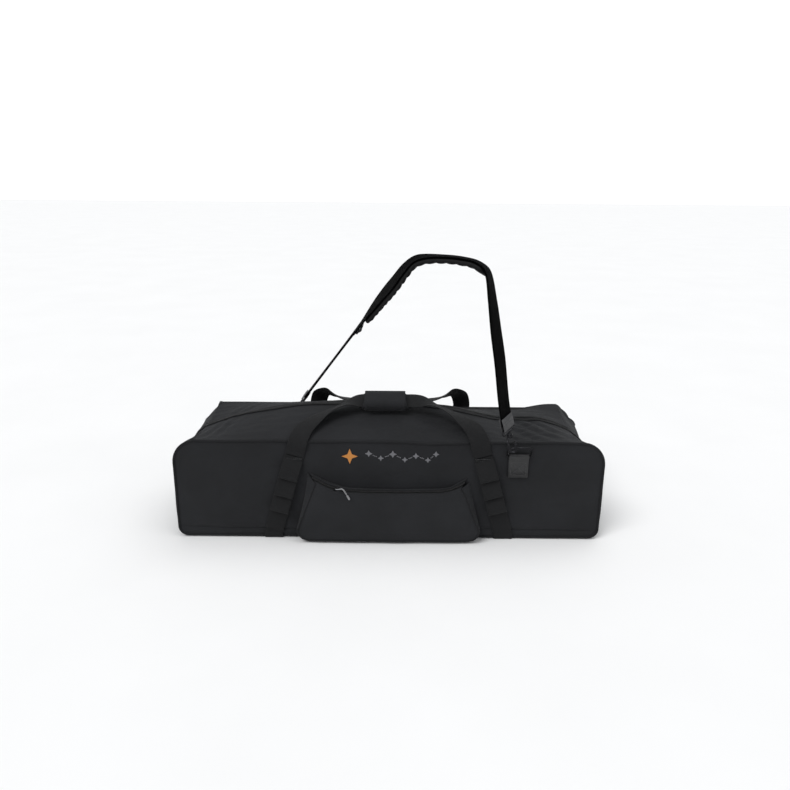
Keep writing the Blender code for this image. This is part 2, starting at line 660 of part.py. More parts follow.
def build_strap(looks):
    """The strap with its pad and adjuster, hung between two D-rings."""
    front, back = ring_contact(-1), ring_contact(1)
    swing = pivot("strap_pivot", front)
    points = strap_route()
    normals = strap_normals(points)
    build_strap_end(looks, -1, "front", front, points[0], STRAP_FACE, swing)
    build_strap_end(looks, 1, "back", back, points[-1], Vector((0, 1, 0)), swing)
    ribbon("shoulder_strap", points, normals, WEBBING, STRAP, looks["strap"], swing)
    lift = -(STRAP / 2 + PAD_THICK / 2 + 0.0025)
    ribbon("shoulder_pad", points[PAD_FROM:PAD_TO], normals[PAD_FROM:PAD_TO], PAD_WIDTH,
           PAD_THICK, looks["pad"], swing, lift)
    top, end = leg_ends()
    place = strap_end_frame(end, top, Vector((0, 1, 0)))
    start = (top - end).length - ADJUSTER_LENGTH
    outer = round_box(WEBBING / 2 + 0.0045, -0.0050, 0.0050, 0.002, 0.002, 2)
    inner = round_box(WEBBING / 2 + 0.0012, -0.0024, 0.0024, 0.0008, 0.0008, 2)
    slide = pivot("adjuster_pivot", top)
    frame_plate("strap_adjuster", outer, inner, start, start + ADJUSTER_LENGTH, "Z", looks["metal"],
                slide, place)


def main():
    clear_scene()
    looks = {"shell": material("shell_fabric", CHARCOAL), "piping": material("piping", BLACK),
             "foam": material("foam", FOAM_GREY, 0.95), "board": material("board", BLACK, 0.6),
             "zip": material("zip_tape", BLACK), "webbing": material("webbing", BLACK),
             "strap": material("strap", BLACK), "pad": material("pad", BLACK),
             "vinyl": material("vinyl", VINYL, 0.5), "metal": material("metal", METAL, 0.35, 1),
             "pull": material("pull", PULL_GREY, 0.4, 1)}
    build_panels(looks)
    build_base(looks)
    build_ends(looks)
    build_flaps(looks)
    build_end_sliders(looks)
    build_pocket(looks)
    build_bands(looks)
    build_handles(looks)
    build_ring(looks, -1, "front")
    build_ring(looks, 1, "back")
    build_strap(looks)
    bpy.context.view_layer.update()


main()
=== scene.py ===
"""The looks of a long soft telescope case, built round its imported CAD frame.

Metres, +Z up, in the frame's own axes: X along the case, -Y its front. Every soft wall
is a sheet on one outer form, so that the pieces meet at their seams.
"""
import json
from math import atan2, cos, pi, radians, sin, sqrt

import bmesh
import bpy
from mathutils import Matrix, Vector, noise


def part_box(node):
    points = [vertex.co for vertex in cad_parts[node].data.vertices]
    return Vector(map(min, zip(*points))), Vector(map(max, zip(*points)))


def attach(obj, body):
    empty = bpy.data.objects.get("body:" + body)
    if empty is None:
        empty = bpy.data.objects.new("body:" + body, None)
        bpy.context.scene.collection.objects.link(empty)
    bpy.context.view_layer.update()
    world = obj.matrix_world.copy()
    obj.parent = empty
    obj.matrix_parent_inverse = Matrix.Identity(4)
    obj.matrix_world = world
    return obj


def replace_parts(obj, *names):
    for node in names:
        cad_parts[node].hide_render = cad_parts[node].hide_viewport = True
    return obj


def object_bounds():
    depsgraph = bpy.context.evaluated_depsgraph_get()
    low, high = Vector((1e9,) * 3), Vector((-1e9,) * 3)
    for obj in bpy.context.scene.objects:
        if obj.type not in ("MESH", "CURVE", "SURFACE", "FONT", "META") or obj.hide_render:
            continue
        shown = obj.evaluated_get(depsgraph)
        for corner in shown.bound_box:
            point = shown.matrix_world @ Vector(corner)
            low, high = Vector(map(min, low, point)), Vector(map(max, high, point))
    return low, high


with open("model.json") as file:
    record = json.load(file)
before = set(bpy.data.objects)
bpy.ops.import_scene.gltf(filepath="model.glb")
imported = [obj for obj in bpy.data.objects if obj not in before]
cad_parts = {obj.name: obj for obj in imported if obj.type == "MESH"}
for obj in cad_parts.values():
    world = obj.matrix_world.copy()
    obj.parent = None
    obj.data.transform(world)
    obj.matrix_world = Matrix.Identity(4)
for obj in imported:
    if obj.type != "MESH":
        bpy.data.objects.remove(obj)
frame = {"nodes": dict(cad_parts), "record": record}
CAD_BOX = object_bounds()

# ---- sizes taken from the frame -------------------------------------------------------
HALF_D = -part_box("front_panel")[0].y
PIPE_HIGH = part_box("front_piping")[1]
SEAM_Z = PIPE_HIGH.z              # the top seams
SEAM_X = PIPE_HIGH.x - 0.0045     # the upright seams
SEAM_Y = HALF_D - 0.0027          # the middle of the pipings
SEAM_LOW = 0.0028                 # the bottom seams
CORNER_INSET = 0.0026             # of a seam inside its panel's corner
TOP_RADIUS = 0.050
BASE_RADIUS = 0.021
PIPING_R = 0.0023
SHELL = 0.0018                    # thickness of the shell's cloth
WEBBING = 0.038                   # width of all the webbing
WEB_THICK = 0.0015
FLOOR_Z = CAD_BOX[0].z
SIDES = ((-1, "front"), (1, "back"))
HANDS = ((-1, "left"), (1, "right"))
UP = Vector((0, 0, 1))

# ---- camera ---------------------------------------------------------------------------
CAMERA_PLACE = (0.0114, -1.4215, 0.7123)
CAMERA_DOWN = radians(17.29)
CAMERA_ROLL = radians(0.44)
CAMERA_LENS = 31.9                # on a 36 mm wide sensor


def make_camera():
    data = bpy.data.cameras.new("camera")
    data.lens = CAMERA_LENS
    data.sensor_width = 36
    data.clip_start, data.clip_end = 0.05, 60
    camera = bpy.data.objects.new("camera", data)
    bpy.context.collection.objects.link(camera)
    turn = Matrix.Rotation(pi / 2 - CAMERA_DOWN, 4, "X") @ Matrix.Rotation(CAMERA_ROLL, 4, "Z")
    camera.matrix_world = Matrix.Translation(CAMERA_PLACE) @ turn
    bpy.context.scene.camera = camera


# ---- materials ------------------------------------------------------------------------
class Shader:
    """A small helper that adds nodes to a Principled material."""

    def __init__(self, name, roughness=0.8, metallic=0.0, sheen=0.0, specular=0.5):
        self.material = bpy.data.materials.new(name)
        self.material.use_nodes = True
        self.nodes = self.material.node_tree.nodes
        self.links = self.material.node_tree.links
        self.out = self.nodes["Principled BSDF"]
        self.out.inputs["Roughness"].default_value = roughness
        self.out.inputs["Metallic"].default_value = metallic
        self.out.inputs["Specular IOR Level"].default_value = specular
        self.out.inputs["Sheen Weight"].default_value = sheen
        self.out.inputs["Sheen Roughness"].default_value = 0.5

    def node(self, kind, settings=None, **inputs):
        made = self.nodes.new("ShaderNode" + kind)
        for key, value in (settings or {}).items():
            setattr(made, key, value)
        for key, value in inputs.items():
            socket = made.inputs[int(key[1:])] if key[0] == "_" else made.inputs[key]
            if isinstance(value, bpy.types.NodeSocket):
                self.links.new(value, socket)
            else:
                socket.default_value = value
        return made

    def coords(self, source, scale):
        found = self.node("TexCoord").outputs[source]
        mapped = self.node("Mapping", Vector=found)
        mapped.inputs["Scale"].default_value = scale
        return mapped.outputs["Vector"]

    def noise(self, scale, detail=3.0, roughness=0.55, source="Object", stretch=(1, 1, 1)):
        vector = self.coords(source, stretch)
        return self.node("TexNoise", Vector=vector, Scale=scale, Detail=detail,
                         Roughness=roughness).outputs["Fac"]

    def bands(self, pitch, across, profile="SIN"):
        """Bands across a UV direction, with a pitch in metres."""
        vector = self.coords("UV", (1, 1, 1))
        settings = {"wave_type": "BANDS", "bands_direction": across, "wave_profile": profile}
        scale = pi / 10 / pitch
        return self.node("TexWave", settings, Vector=vector, Scale=scale).outputs["Fac"]

    def math(self, operation, first, second):
        return self.node("Math", {"operation": operation}, _0=first, _1=second).outputs[0]

    def ramp(self, value, low, high, dark, light):
        made = self.node("ValToRGB", Fac=value)
        made.color_ramp.elements[0].position = low
        made.color_ramp.elements[1].position = high
        made.color_ramp.elements[0].color = (*dark, 1)
        made.color_ramp.elements[1].color = (*light, 1)
        return made.outputs["Color"]

    def colour(self, socket):
        self.links.new(socket, self.out.inputs["Base Color"])

    def roughness(self, value, low, high):
        made = self.node("MapRange", Value=value)
        made.inputs["To Min"].default_value = low
        made.inputs["To Max"].default_value = high
        self.links.new(made.outputs["Result"], self.out.inputs["Roughness"])

    def bump(self, height, distance, strength=1.0, under=None):
        made = self.node("Bump", Height=height, Distance=distance, Strength=strength)
        if under is not None:
            self.links.new(under, made.inputs["Normal"])
        return made.outputs["Normal"]

    def normal(self, socket):
        self.links.new(socket, self.out.inputs["Normal"])


def scaled(colour, factor):
    return tuple(channel * factor for channel in colour)


def cloth(name, colour, pitch=0.0011, sheen=0.04, lighter_end=1.5, bump=0.00022):
    """Coated woven polyester: a plain weave with painted highlights on its raised crossings and
    painted shade in its hollows, soft mottling and fine specks.
    """
    made = Shader(name, roughness=0.8, sheen=sheen, specular=0.22)
    weave = made.math("MULTIPLY", made.bands(pitch, "X"), made.bands(pitch, "Y"))
    mottle = made.noise(9.0, 5.0, 0.62)
    speck = made.noise(900.0, 2.0)
    # The weave is also the bump's height: mixed into the colour it paints highlights on the
    # crossings and shade in the hollows. The mottling and specks are random tone.
    mixed = made.math("ADD", made.math("MULTIPLY", mottle, 0.62),
                      made.math("MULTIPLY", made.math("ADD", speck, weave), 0.19))
    made.colour(made.ramp(mixed, 0.34, 0.72, scaled(colour, 0.72), scaled(colour, lighter_end)))
    made.roughness(mottle, 0.70, 0.88)
    under = made.bump(made.noise(55.0, 4.0, 0.6), 0.0012, 0.5)
    made.normal(made.bump(weave, bump, 1.0, under))
    return made.material


def webbing(name, colour, rib=0.0016, lighter_end=1.6, specular=0.2, sheen=0.03):
    """Woven webbing: ribs along its length, crossed by fine picks."""
    made = Shader(name, roughness=0.7, sheen=sheen, specular=specular)
    ribs = made.bands(rib, "X")
    picks = made.bands(rib * 0.7, "Y")
    grain = made.noise(500.0, 3.0)
    # Ribs and picks are also the bump: in the colour they paint highlights on the crests and shade
    # in the hollows. The grain is random tone.
    mixed = made.math("ADD", made.math("MULTIPLY", ribs, 0.45),
                      made.math("ADD", made.math("MULTIPLY", picks, 0.2),
                                made.math("MULTIPLY", grain, 0.35)))
    made.colour(made.ramp(mixed, 0.2, 0.95, scaled(colour, 0.55), scaled(colour, lighter_end)))
    made.roughness(made.noise(30.0), 0.58, 0.82)
    under = made.bump(made.noise(70.0, 3.0), 0.0008, 0.5)
    made.normal(made.bump(made.math("ADD", ribs, made.math("MULTIPLY", picks, 0.6)),
                          0.0003, 1.0, under))
    return made.material


def metal(name, colour, roughness=0.32, metallic=1.0, lighter_end=(0.16, 0.16, 0.17)):
    """Black plated metal with brighter rubbed patches and fine scratches."""
    made = Shader(name, roughness=roughness, metallic=metallic)
    rubbed = made.noise(140.0, 6.0, 0.7)
    made.colour(made.ramp(rubbed, 0.52, 0.78, colour, lighter_end))
    made.roughness(made.noise(60.0, 5.0), roughness * 0.7, roughness * 1.5)
    made.normal(made.bump(made.noise(900.0, 2.0, 0.5, "Object", (1, 1, 0.1)), 0.00008, 0.6))
    return made.material


def vinyl(name, colour):
    """Leather-grained vinyl."""
    made = Shader(name, roughness=0.5, specular=0.5)
    grain = made.node("TexVoronoi", {"feature": "DISTANCE_TO_EDGE"},
                      Vector=made.coords("Object", (1, 1, 1)), Scale=900.0).outputs["Distance"]
    made.colour(made.ramp(made.noise(120.0, 4.0), 0.3, 0.75, scaled(colour, 0.8),
                          scaled(colour, 1.25)))
    made.roughness(made.noise(80.0), 0.38, 0.6)
    made.normal(made.bump(grain, 0.0003, 0.8))
    return made.material


def thread(name, colour, pitch=0.0007):
    """Embroidery or sewing thread, lying in close rows."""
    made = Shader(name, roughness=0.45, sheen=0.3)
    rows = made.bands(pitch, "X")
    # The rows are also the bump: the colour paints shade in the grooves between them and highlights
    # on their crowns.
    made.colour(made.ramp(rows, 0.15, 0.9, scaled(colour, 0.6), colour))
    made.roughness(made.noise(300.0), 0.35, 0.55)
    made.normal(made.bump(rows, 0.0003, 1.0))
    return made.material


def foam(name, colour):
    """Brushed lining over closed-cell foam."""
    made = Shader(name, roughness=0.95, sheen=0.4, specular=0.2)
    cells = made.noise(420.0, 3.0, 0.7)
    # The cells are also the bump: the colour paints highlights on their tops and shade in their
    # hollows.
    made.colour(made.ramp(cells, 0.3, 0.7, scaled(colour, 0.75), scaled(colour, 1.2)))
    made.roughness(made.noise(40.0), 0.85, 1.0)
    made.normal(made.bump(cells, 0.0004, 0.7))
    return made.material


def floor_material():
    made = Shader("floor", roughness=0.9, specular=0.1)
    made.colour(made.ramp(made.noise(3.0), 0.3, 0.7, (0.88, 0.88, 0.88), (0.90, 0.90, 0.90)))
    return made.material


CHARCOAL = (0.0130, 0.0136, 0.0155)
LOOKS = {
    "shell_fabric": cloth("shell_cloth", CHARCOAL),
    "pocket_fabric": cloth("pocket_cloth", scaled(CHARCOAL, 1.05)),
    "piping": cloth("piping_cloth", scaled(CHARCOAL, 0.75), pitch=0.0009),
    "lining": cloth("lining_cloth", (0.035, 0.035, 0.037), pitch=0.0007, sheen=0.1),
    "zip_tape": webbing("zip_tape_weave", (0.0075, 0.0076, 0.0082), rib=0.0009),
    "coil": metal("zip_coil", (0.012, 0.012, 0.013), 0.4, 0.0, (0.03, 0.03, 0.03)),
    "webbing": webbing("case_webbing", (0.0078, 0.0080, 0.0088)),
    "strap_webbing": webbing("strap_weave", (0.0008, 0.0008, 0.0009), specular=0.03,
                             sheen=0.0),
    "pad_fabric": cloth("pad_cloth", (0.0028, 0.0028, 0.0031), pitch=0.0014, sheen=0.0),
    "vinyl": vinyl("tab_vinyl", (0.040, 0.040, 0.042)),
    "black_metal": metal("black_plate", (0.020, 0.020, 0.022)),
    "pull_grey": metal("grey_plate", (0.42, 0.42, 0.44), 0.35, 1.0, (0.6, 0.6, 0.6)),
    "board": metal("base_plastic", (0.02, 0.02, 0.02), 0.6, 0.0, (0.03, 0.03, 0.03)),
    "foam": foam("foam_lining", (0.075, 0.075, 0.080)),
    "grey_thread": thread("grey_thread", (0.20, 0.20, 0.22)),
    "pull_cord": thread("pull_cord", (0.34, 0.34, 0.35), 0.0012),
    "grip_fabric": cloth("grip_cloth", scaled(CHARCOAL, 0.9), pitch=0.0013),
    "vinyl_black": vinyl("tab_vinyl_black", (0.012, 0.012, 0.013)),
    "orange_thread": thread("orange_thread", (0.80, 0.30, 0.035)),
    "seam_thread": thread("seam_thread", (0.022, 0.022, 0.026)),
}


def link_object(name, data):
    made = bpy.data.objects.new(name, data)
    bpy.context.collection.objects.link(made)
    return made


def finish_piece(made, look, body, record_slot=None):
    """Give a piece its look and the body it rides on. Its slot is not used."""
    made.data.materials.clear()
    made.data.materials.append(LOOKS[look])
    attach(made, body)
    record_slot or look
    return made


def add_object(name, mesh, look, body, record_slot=None):
    mesh.shade_smooth()
    return finish_piece(link_object(name, mesh), look, body, record_slot)


def shape_mesh(name, shape):
    """Turn a bmesh into a mesh."""
    mesh = bpy.data.meshes.new(name)
    shape.to_mesh(mesh)
    shape.free()
    return mesh


def add_shape(name, shape, look, body, record_slot=None):
    return add_object(name, shape_mesh(name, shape), look, body, record_slot)


def grid(name, place, columns, rows, size, look, body, record_slot=None, thick=0.0, flip=False,
         closed=False):
    """A sheet of cloth: place(u, v) gives its points for u and v from 0 to 1, and size is
    the cloth's own length in each direction, for its weave."""
    mesh = bpy.data.meshes.new(name)
    width = columns if closed else columns + 1
    points = [place(i / columns, j / rows) for j in range(rows + 1) for i in range(width)]
    faces, corners = [], []
    for j in range(rows):
        for i in range(columns):
            right = (i + 1) % width
            ring = (j * width + i, j * width + right, (j + 1) * width + right,
                    (j + 1) * width + i)
            uv = ((i, j), (i + 1, j), (i + 1, j + 1), (i, j + 1))
            if flip:
                ring, uv = ring[::-1], uv[::-1]
            faces.append(ring)
            corners += [(a / columns * size[0], b / rows * size[1]) for a, b in uv]
    mesh.from_pydata(points, [], faces)
    layer = mesh.uv_layers.new(name="cloth")
    for loop, uv in zip(layer.data, corners):
        loop.uv = uv
    made = add_object(name, mesh, look, body, record_slot)
    if thick:
        solid = made.modifiers.new("thickness", "SOLIDIFY")
        solid.thickness = thick
        solid.offset = -1
    return made


def padded_sheet(node, fill, *sheet, **settings):
    """A sheet of cloth in the place of a node of the frame. Its fill is not used."""
    made = grid(*sheet, **settings)
    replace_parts(made, node)


def smooth_route(points, steps):
    """A smooth curve through points, with a number of steps between neighbours."""
    points = [Vector(point) for point in points]
    ends = [2 * points[0] - points[1], *points, 2 * points[-1] - points[-2]]
    route = []
    for a, b, c, d in zip(ends, ends[1:], ends[2:], ends[3:]):
        for step in range(steps):
            t = step / steps
            route.append(0.5 * (2 * b + (c - a) * t + (2 * a - 5 * b + 4 * c - d) * t ** 2
                                + (3 * b - a - 3 * c + d) * t ** 3))
    return route + [points[-1]]


def follow(knots, x):
    """A smooth height along knots of (x, height), level beyond them."""
    if x <= knots[0][0]:
        return knots[0][1]
    for i in range(len(knots) - 1):
        if x <= knots[i + 1][0]:
            (x1, y1), (x2, y2) = knots[i], knots[i + 1]
            x0, y0 = knots[max(i - 1, 0)]
            x3, y3 = knots[min(i + 2, len(knots) - 1)]
            t = (x - x1) / (x2 - x1)
            m1 = (y2 - y0) / max(x2 - x0, 1e-6) * (x2 - x1)
            m2 = (y3 - y1) / max(x3 - x1, 1e-6) * (x2 - x1)
            return ((2 * t ** 3 - 3 * t ** 2 + 1) * y1 + (t ** 3 - 2 * t ** 2 + t) * m1
                    + (3 * t ** 2 - 2 * t ** 3) * y2 + (t ** 3 - t ** 2) * m2)
    return knots[-1][1]


def ribbon(name, points, normals, width, thickness, look, body, record_slot=None, edge=0.3,
           lift=0.0, widths=None):
    """Webbing along points: a flat band with rounded, slightly thinner edges."""
    section = [(-1, 0), (-0.985, 0.62), (-0.93, 1 - edge * 0.3), (-0.5, 1), (0, 1), (0.5, 1),
               (0.93, 1 - edge * 0.3), (0.985, 0.62), (1, 0), (0.985, -0.62),
               (0.93, -1 + edge * 0.3), (0, -1), (-0.93, -1 + edge * 0.3), (-0.985, -0.62)]
    shape = bmesh.new()
    layer = shape.loops.layers.uv.new("cloth")
    rows, lengths, run = [], [], 0.0
    for i, point in enumerate(points):
        ahead = points[min(i + 1, len(points) - 1)] - points[max(i - 1, 0)]
        across = ahead.cross(normals[i]).normalized()
        out = across.cross(ahead).normalized()
        middle = point + out * lift
        half = (widths[i] if widths else width) / 2
        rows.append([shape.verts.new(middle + across * (u * half) + out * (v * thickness / 2))
                     for u, v in section])
        run += (point - points[i - 1]).length if i else 0.0
        lengths.append(run)
    count = len(section)
    for i in range(len(rows) - 1):
        for k in range(count):
            n = (k + 1) % count
            face = shape.faces.new((rows[i][k], rows[i + 1][k], rows[i + 1][n], rows[i][n]))
            spots = ((section[k][0], i), (section[k][0], i + 1), (section[n][0], i + 1),
                     (section[n][0], i))
            for loop, (u, row) in zip(face.loops, spots):
                loop[layer].uv = (u * width / 2, lengths[row])
    shape.faces.new(rows[0])
    shape.faces.new(rows[-1][::-1])
    bmesh.ops.recalc_face_normals(shape, faces=shape.faces)
    return add_shape(name, shape, look, body, record_slot)


def tube(name, points, radius, look, body, record_slot=None, cyclic=False, sides=4):
    """A round cord, seam or wire."""
    curve = bpy.data.curves.new(name, "CURVE")
    curve.dimensions = "3D"
    curve.bevel_depth = radius
    curve.bevel_resolution = sides
    curve.resolution_u = 4
    curve.use_fill_caps = not cyclic
    spline = curve.splines.new("POLY")
    spline.points.add(len(points) - 1)
    for knot, point in zip(spline.points, points):
        knot.co = (*point, 1)
    spline.use_cyclic_u = cyclic
    return finish_piece(link_object(name, curve), look, body, record_slot)


def block(spot, *half_sizes):
    """A matrix that stretches a 2-unit cube to a block at a spot."""
    return Matrix.Translation(spot) @ Matrix.Diagonal((*half_sizes, 1))


def join_boxes(name, boxes, look, body, record_slot=None, bevel=0.0):
    """Many small blocks, each given by its matrix, as one piece."""
    shape = bmesh.new()
    for place in boxes:
        bmesh.ops.create_cube(shape, size=2, matrix=place)
    if bevel:
        bmesh.ops.bevel(shape, geom=shape.edges, offset=bevel, segments=2, affect="EDGES",
                        clamp_overlap=True)
    return add_shape(name, shape, look, body, record_slot)


def ripple(point, scale, seed=0.0):
    """Gentle unevenness, from -1 to 1."""
    return noise.noise(Vector(point) * scale + Vector((seed, seed * 1.7, seed * 2.3)))


# ---- the outer form -------------------------------------------------------------------
# Heights of the closed zip's ridge along the case, and the outline that the middle of an
# end panel follows. The corners behind the front panel are pinched in.
RIDGE = ((-0.394, 0.198), (-0.330, 0.220), (-0.249, 0.2386), (-0.149, 0.2500), (0.0, 0.2535),
         (0.127, 0.2420), (0.183, 0.2300), (0.2375, 0.2190), (0.300, 0.2190), (0.340, 0.2120),
         (0.385, 0.1940))
END_LEFT = ((0.394, 0.198), (0.416, 0.178), (0.432, 0.150), (0.441, 0.115), (0.4445, 0.080),
            (0.4440, 0.040), (0.4380, 0.012), (0.4280, 0.0012))
END_RIGHT = ((0.385, 0.194), (0.412, 0.172), (0.430, 0.147), (0.441, 0.115), (0.4445, 0.080),
             (0.4440, 0.040), (0.4380, 0.012), (0.4280, 0.0012))


def tent(t):
    """How high the top stands from one seam, t = -1, over the ridge to the other, t = 1."""
    return max(0.0, 1 - abs(t) ** 1.45)


def drum(t):
    """How far an end stands out between its two seams."""
    return sqrt(max(0.0, 1 - abs(t) ** 3.2))


def seam_sag(x, side):
    """How far a top seam hangs down. The handle's weight pulls the back one down."""
    if side > 0:
        return 0.0125 * swell_step(x, -0.05, 0.06) * swell_step(-x, -0.37, -0.28)
    dip = (x - 0.105) / 0.045
    return 0.0036 / (1 + dip ** 4) + 0.0007 * sin(x * 34)


def swell_step(x, low, high):
    """A soft step from 0 at low to 1 at high."""
    t = min(1.0, max(0.0, (x - low) / (high - low)))
    return t * t * (3 - 2 * t)


def top_point(x, t):
    """A point of the closed top: a tent that is a little uneven, puckered in front at its
    right end and pulled into folds at its left end."""
    edge = SEAM_Z + 0.0016 - seam_sag(x, 1 if t > 0 else -1)
    height = edge + (follow(RIDGE, x) - edge) * tent(t)
    spread = (1 - t * t)
    side = 1 if t > 0 else -1
    height += 0.0045 * spread * (1 - spread * 0.3) * ripple((x, t * 0.15, 0), 9, 3.1 + side)
    height += 0.0018 * abs(t) * spread * 2 * ripple((x, t * 0.3, 0), 26, 5.7)
    right = max(0.0, 1 - abs(x - 0.290) / 0.085)
    crease = sin((x * 0.8 + (t + 1) * 0.085) * 2 * pi / 0.036 + 2 * ripple((x, t, 0), 12, 1.1))
    height += 0.0032 * right * crease * max(0.0, -t) ** 0.5 * (1 - abs(t)) ** 0.5 * 2
    pull = max(0.0, 1 - abs(x + 0.330 - 0.05 * t) / 0.05)
    height += 0.0022 * pull * sin((x - t * 0.04) * 2 * pi / 0.028) * (1 - abs(t)) * abs(t) * 3
    return Vector((x, t * SEAM_Y, height))


def polyline(points, fraction):
    """The point a fraction of the way along a run of flat points."""
    steps = [sqrt((b[0] - a[0]) ** 2 + (b[1] - a[1]) ** 2) for a, b in zip(points, points[1:])]
    left = fraction * sum(steps)
    for (a, b), step in zip(zip(points, points[1:]), steps):
        if left <= step:
            t = left / step
            return a[0] + (b[0] - a[0]) * t, a[1] + (b[1] - a[1]) * t
        left -= step
    return points[-1]


def headings(path):
    """The direction of travel at each point of a flat path."""
    ends = [path[0], *path, path[-1]]
    return [(after[0] - before[0], after[1] - before[1]) for before, after in zip(ends, ends[2:])]


def arc(centre, radius, start, stop, steps):
    """Flat points round a centre, between two angles in degrees."""
    turns = [radians(start + (stop - start) * i / steps) for i in range(steps + 1)]
    return [(centre[0] + radius * cos(t), centre[1] + radius * sin(t)) for t in turns]


PINCH = 0.36               # how much the back's upper corners are drawn in


def corner(side):
    """The seam round an upper corner, on the right, from the top down."""
    radius = TOP_RADIUS - CORNER_INSET
    points = []
    for step in range(13):
        angle = pi / 2 * (1 - step / 12)
        reach = radius * (1 - (PINCH * sin(2 * angle) ** 1.3 if side > 0 else 0))
        points.append((SEAM_X - radius + reach * cos(angle),
                       SEAM_Z - radius + reach * sin(angle)))
    return points


def seam_right(side, first_x=None):
    """The seam on the right, from the top over the upper corner down to the base."""
    low = BASE_RADIUS - CORNER_INSET
    path = [] if first_x is None else [(first_x, SEAM_Z)]
    path += corner(side)
    return path + arc((SEAM_X - low, SEAM_LOW + low), low, 0, -90, 8)


def end_point(side, v, t):
    """A point of an end panel: v runs from the flap's end down to the base."""
    middle_x, middle_z = polyline(END_SMOOTH[side], v)
    front = polyline(END_SEAM[side, -1], v)
    back = polyline(END_SEAM[side, 1], v)
    share = 0.5 + 0.5 * max(-1.0, min(1.0, t * 1.6))
    share = share * share * (3 - 2 * share)
    seam_x = front[0] + (back[0] - front[0]) * share
    seam_z = front[1] + (back[1] - front[1]) * share + 0.0016 * (1 - v)
    x = seam_x + (middle_x - seam_x) * (drum(t) if v > 0.12 else
                                        drum(t) * v / 0.12 + tent(t) * (1 - v / 0.12))
    z = seam_z + (middle_z - seam_z) * tent(t)
    swell = (1 - t * t) * sin(pi * min(1.0, v * 1.1)) * 0.0045
    x += swell * ripple((v, t * 0.6, side), 5, 1.3)
    z += swell * ripple((v, t * 0.6, side), 6, 8.3) * (1 - v)
    return Vector((side * x, t * SEAM_Y, z))


END_SMOOTH, END_SEAM = {}, {}
for end, table in ((-1, END_LEFT), (1, END_RIGHT)):
    curve = smooth_route([Vector((a, 0, b)) for a, b in table], 6)
    END_SMOOTH[end] = [(p.x, p.z) for p in curve]
    for face in (-1, 1):
        END_SEAM[end, face] = seam_right(face, table[0][0])


PANEL_FOOT = 0.0030        # the lowest line of the front and back panels
CREASE_Z = 0.0195          # a fold along their foot, with a roll of cloth under it
CREASE_DEPTH = 0.0030
ROLL_Z = 0.0115
ROLL_HEIGHT = 0.0012


def panel_swell(x, z, side):
    """How far the front or back panel stands out from its seams."""
    u = min(1.0, (SEAM_X - abs(x)) / 0.060)
    low = min(1.0, max(0.0, z - PANEL_FOOT) / 0.030)
    high = min(1.0, max(0.0, SEAM_Z - z) / 0.045)
    rise = sin(pi / 2 * max(0.0, u)) * sin(pi / 2 * low) * sin(pi / 2 * high)
    swell = 0.0034 * rise
    swell += 0.0034 * rise * ripple((x, z * 1.4, side), 8, 2.2)
    swell += 0.0010 * rise * ripple((x * 0.7, z * 1.5, side), 26, 6.1)
    crease = (z - CREASE_Z - 0.0016 * sin(x * 11)) / 0.0019
    swell -= CREASE_DEPTH * min(1.0, u * 2) / (1 + crease * crease)
    roll = (z - ROLL_Z) / 0.006
    swell += ROLL_HEIGHT * min(1.0, u * 2) / (1 + roll * roll)
    return swell


# ---- shell ----------------------------------------------------------------------------
def panel_edge(z, side=-1):
    """Half-width of the front or back panel at a height, inside its corners."""
    seam = seam_right(side)
    if z >= seam[0][1]:
        return seam[0][0]
    for (x1, z1), (x2, z2) in zip(seam, seam[1:]):
        if z2 <= z <= z1:
            return x1 + (x2 - x1) * (z1 - z) / max(z1 - z2, 1e-9)
    return seam[-1][0]


def build_panels():
    for side, name in SIDES:
        def place(u, v, side=side):
            z = PANEL_FOOT + (SEAM_Z - PANEL_FOOT) * v
            x = (2 * u - 1) * panel_edge(z, side)
            y = side * (SEAM_Y + 0.0004 + panel_swell(x, z, side))
            return Vector((x, y, z - seam_sag(x, side) * v ** 4))
        padded_sheet(name + "_panel", 0.4, name + "_cloth", place, 240, 130,
                     (2 * SEAM_X, SEAM_Z), "shell_fabric", "case", thick=SHELL, flip=side > 0)


def build_ends():
    for side, name in HANDS:
        def place(u, v, side=side):
            return end_point(side, v, 2 * u - 1)
        padded_sheet("end_panel_" + name, 0.4, "end_cloth_" + name, place, 56, 56,
                     (2 * SEAM_Y, 0.27), "shell_fabric", "case", thick=SHELL, flip=side > 0)


def build_flaps():
    for side, name in SIDES:
        low_x, high_x = -END_LEFT[0][0] + 0.0004, END_RIGHT[0][0] - 0.0004

        def place(u, v, side=side):
            return top_point(low_x + (high_x - low_x) * u, side * (1 - v * 0.9955))
        padded_sheet("top_flap_" + name, 0.4, "flap_cloth_" + name, place, 200, 34,
                     (high_x - low_x, 0.13), "shell_fabric", "flap_" + name, thick=SHELL,
                     flip=side > 0)


def build_base():
    half_x, half_y = end_point(1, 1, 0).x, SEAM_Y - 0.001

    def place(u, v):
        t = 2 * v - 1
        x, y = (2 * u - 1) * abs(end_point(1, 1, t).x), t * half_y
        rise = 0.0010 * max(0.0, abs(t) - 0.9) * 10
        return Vector((x, y, 0.0004 + rise + 0.0004 * (1 + ripple((x, y, 0), 12, 4.4))))
    padded_sheet("base_panel", 0.3, "base_cloth", place, 60, 40, (2 * half_x, 2 * half_y),
                 "shell_fabric", "case", thick=-SHELL, flip=True)


def seam_loop(side):
    """The closed seam line round a front or back panel."""
    right = seam_right(side)
    points = right + [(-x, z) for x, z in reversed(right)]
    dense = []
    for a, b in zip(points, points[1:] + points[:1]):
        steps = max(1, int(sqrt((b[0] - a[0]) ** 2 + (b[1] - a[1]) ** 2) / 0.008))
        dense += [(a[0] + (b[0] - a[0]) * k / steps, a[1] + (b[1] - a[1]) * k / steps)
                  for k in range(steps)]
    return dense


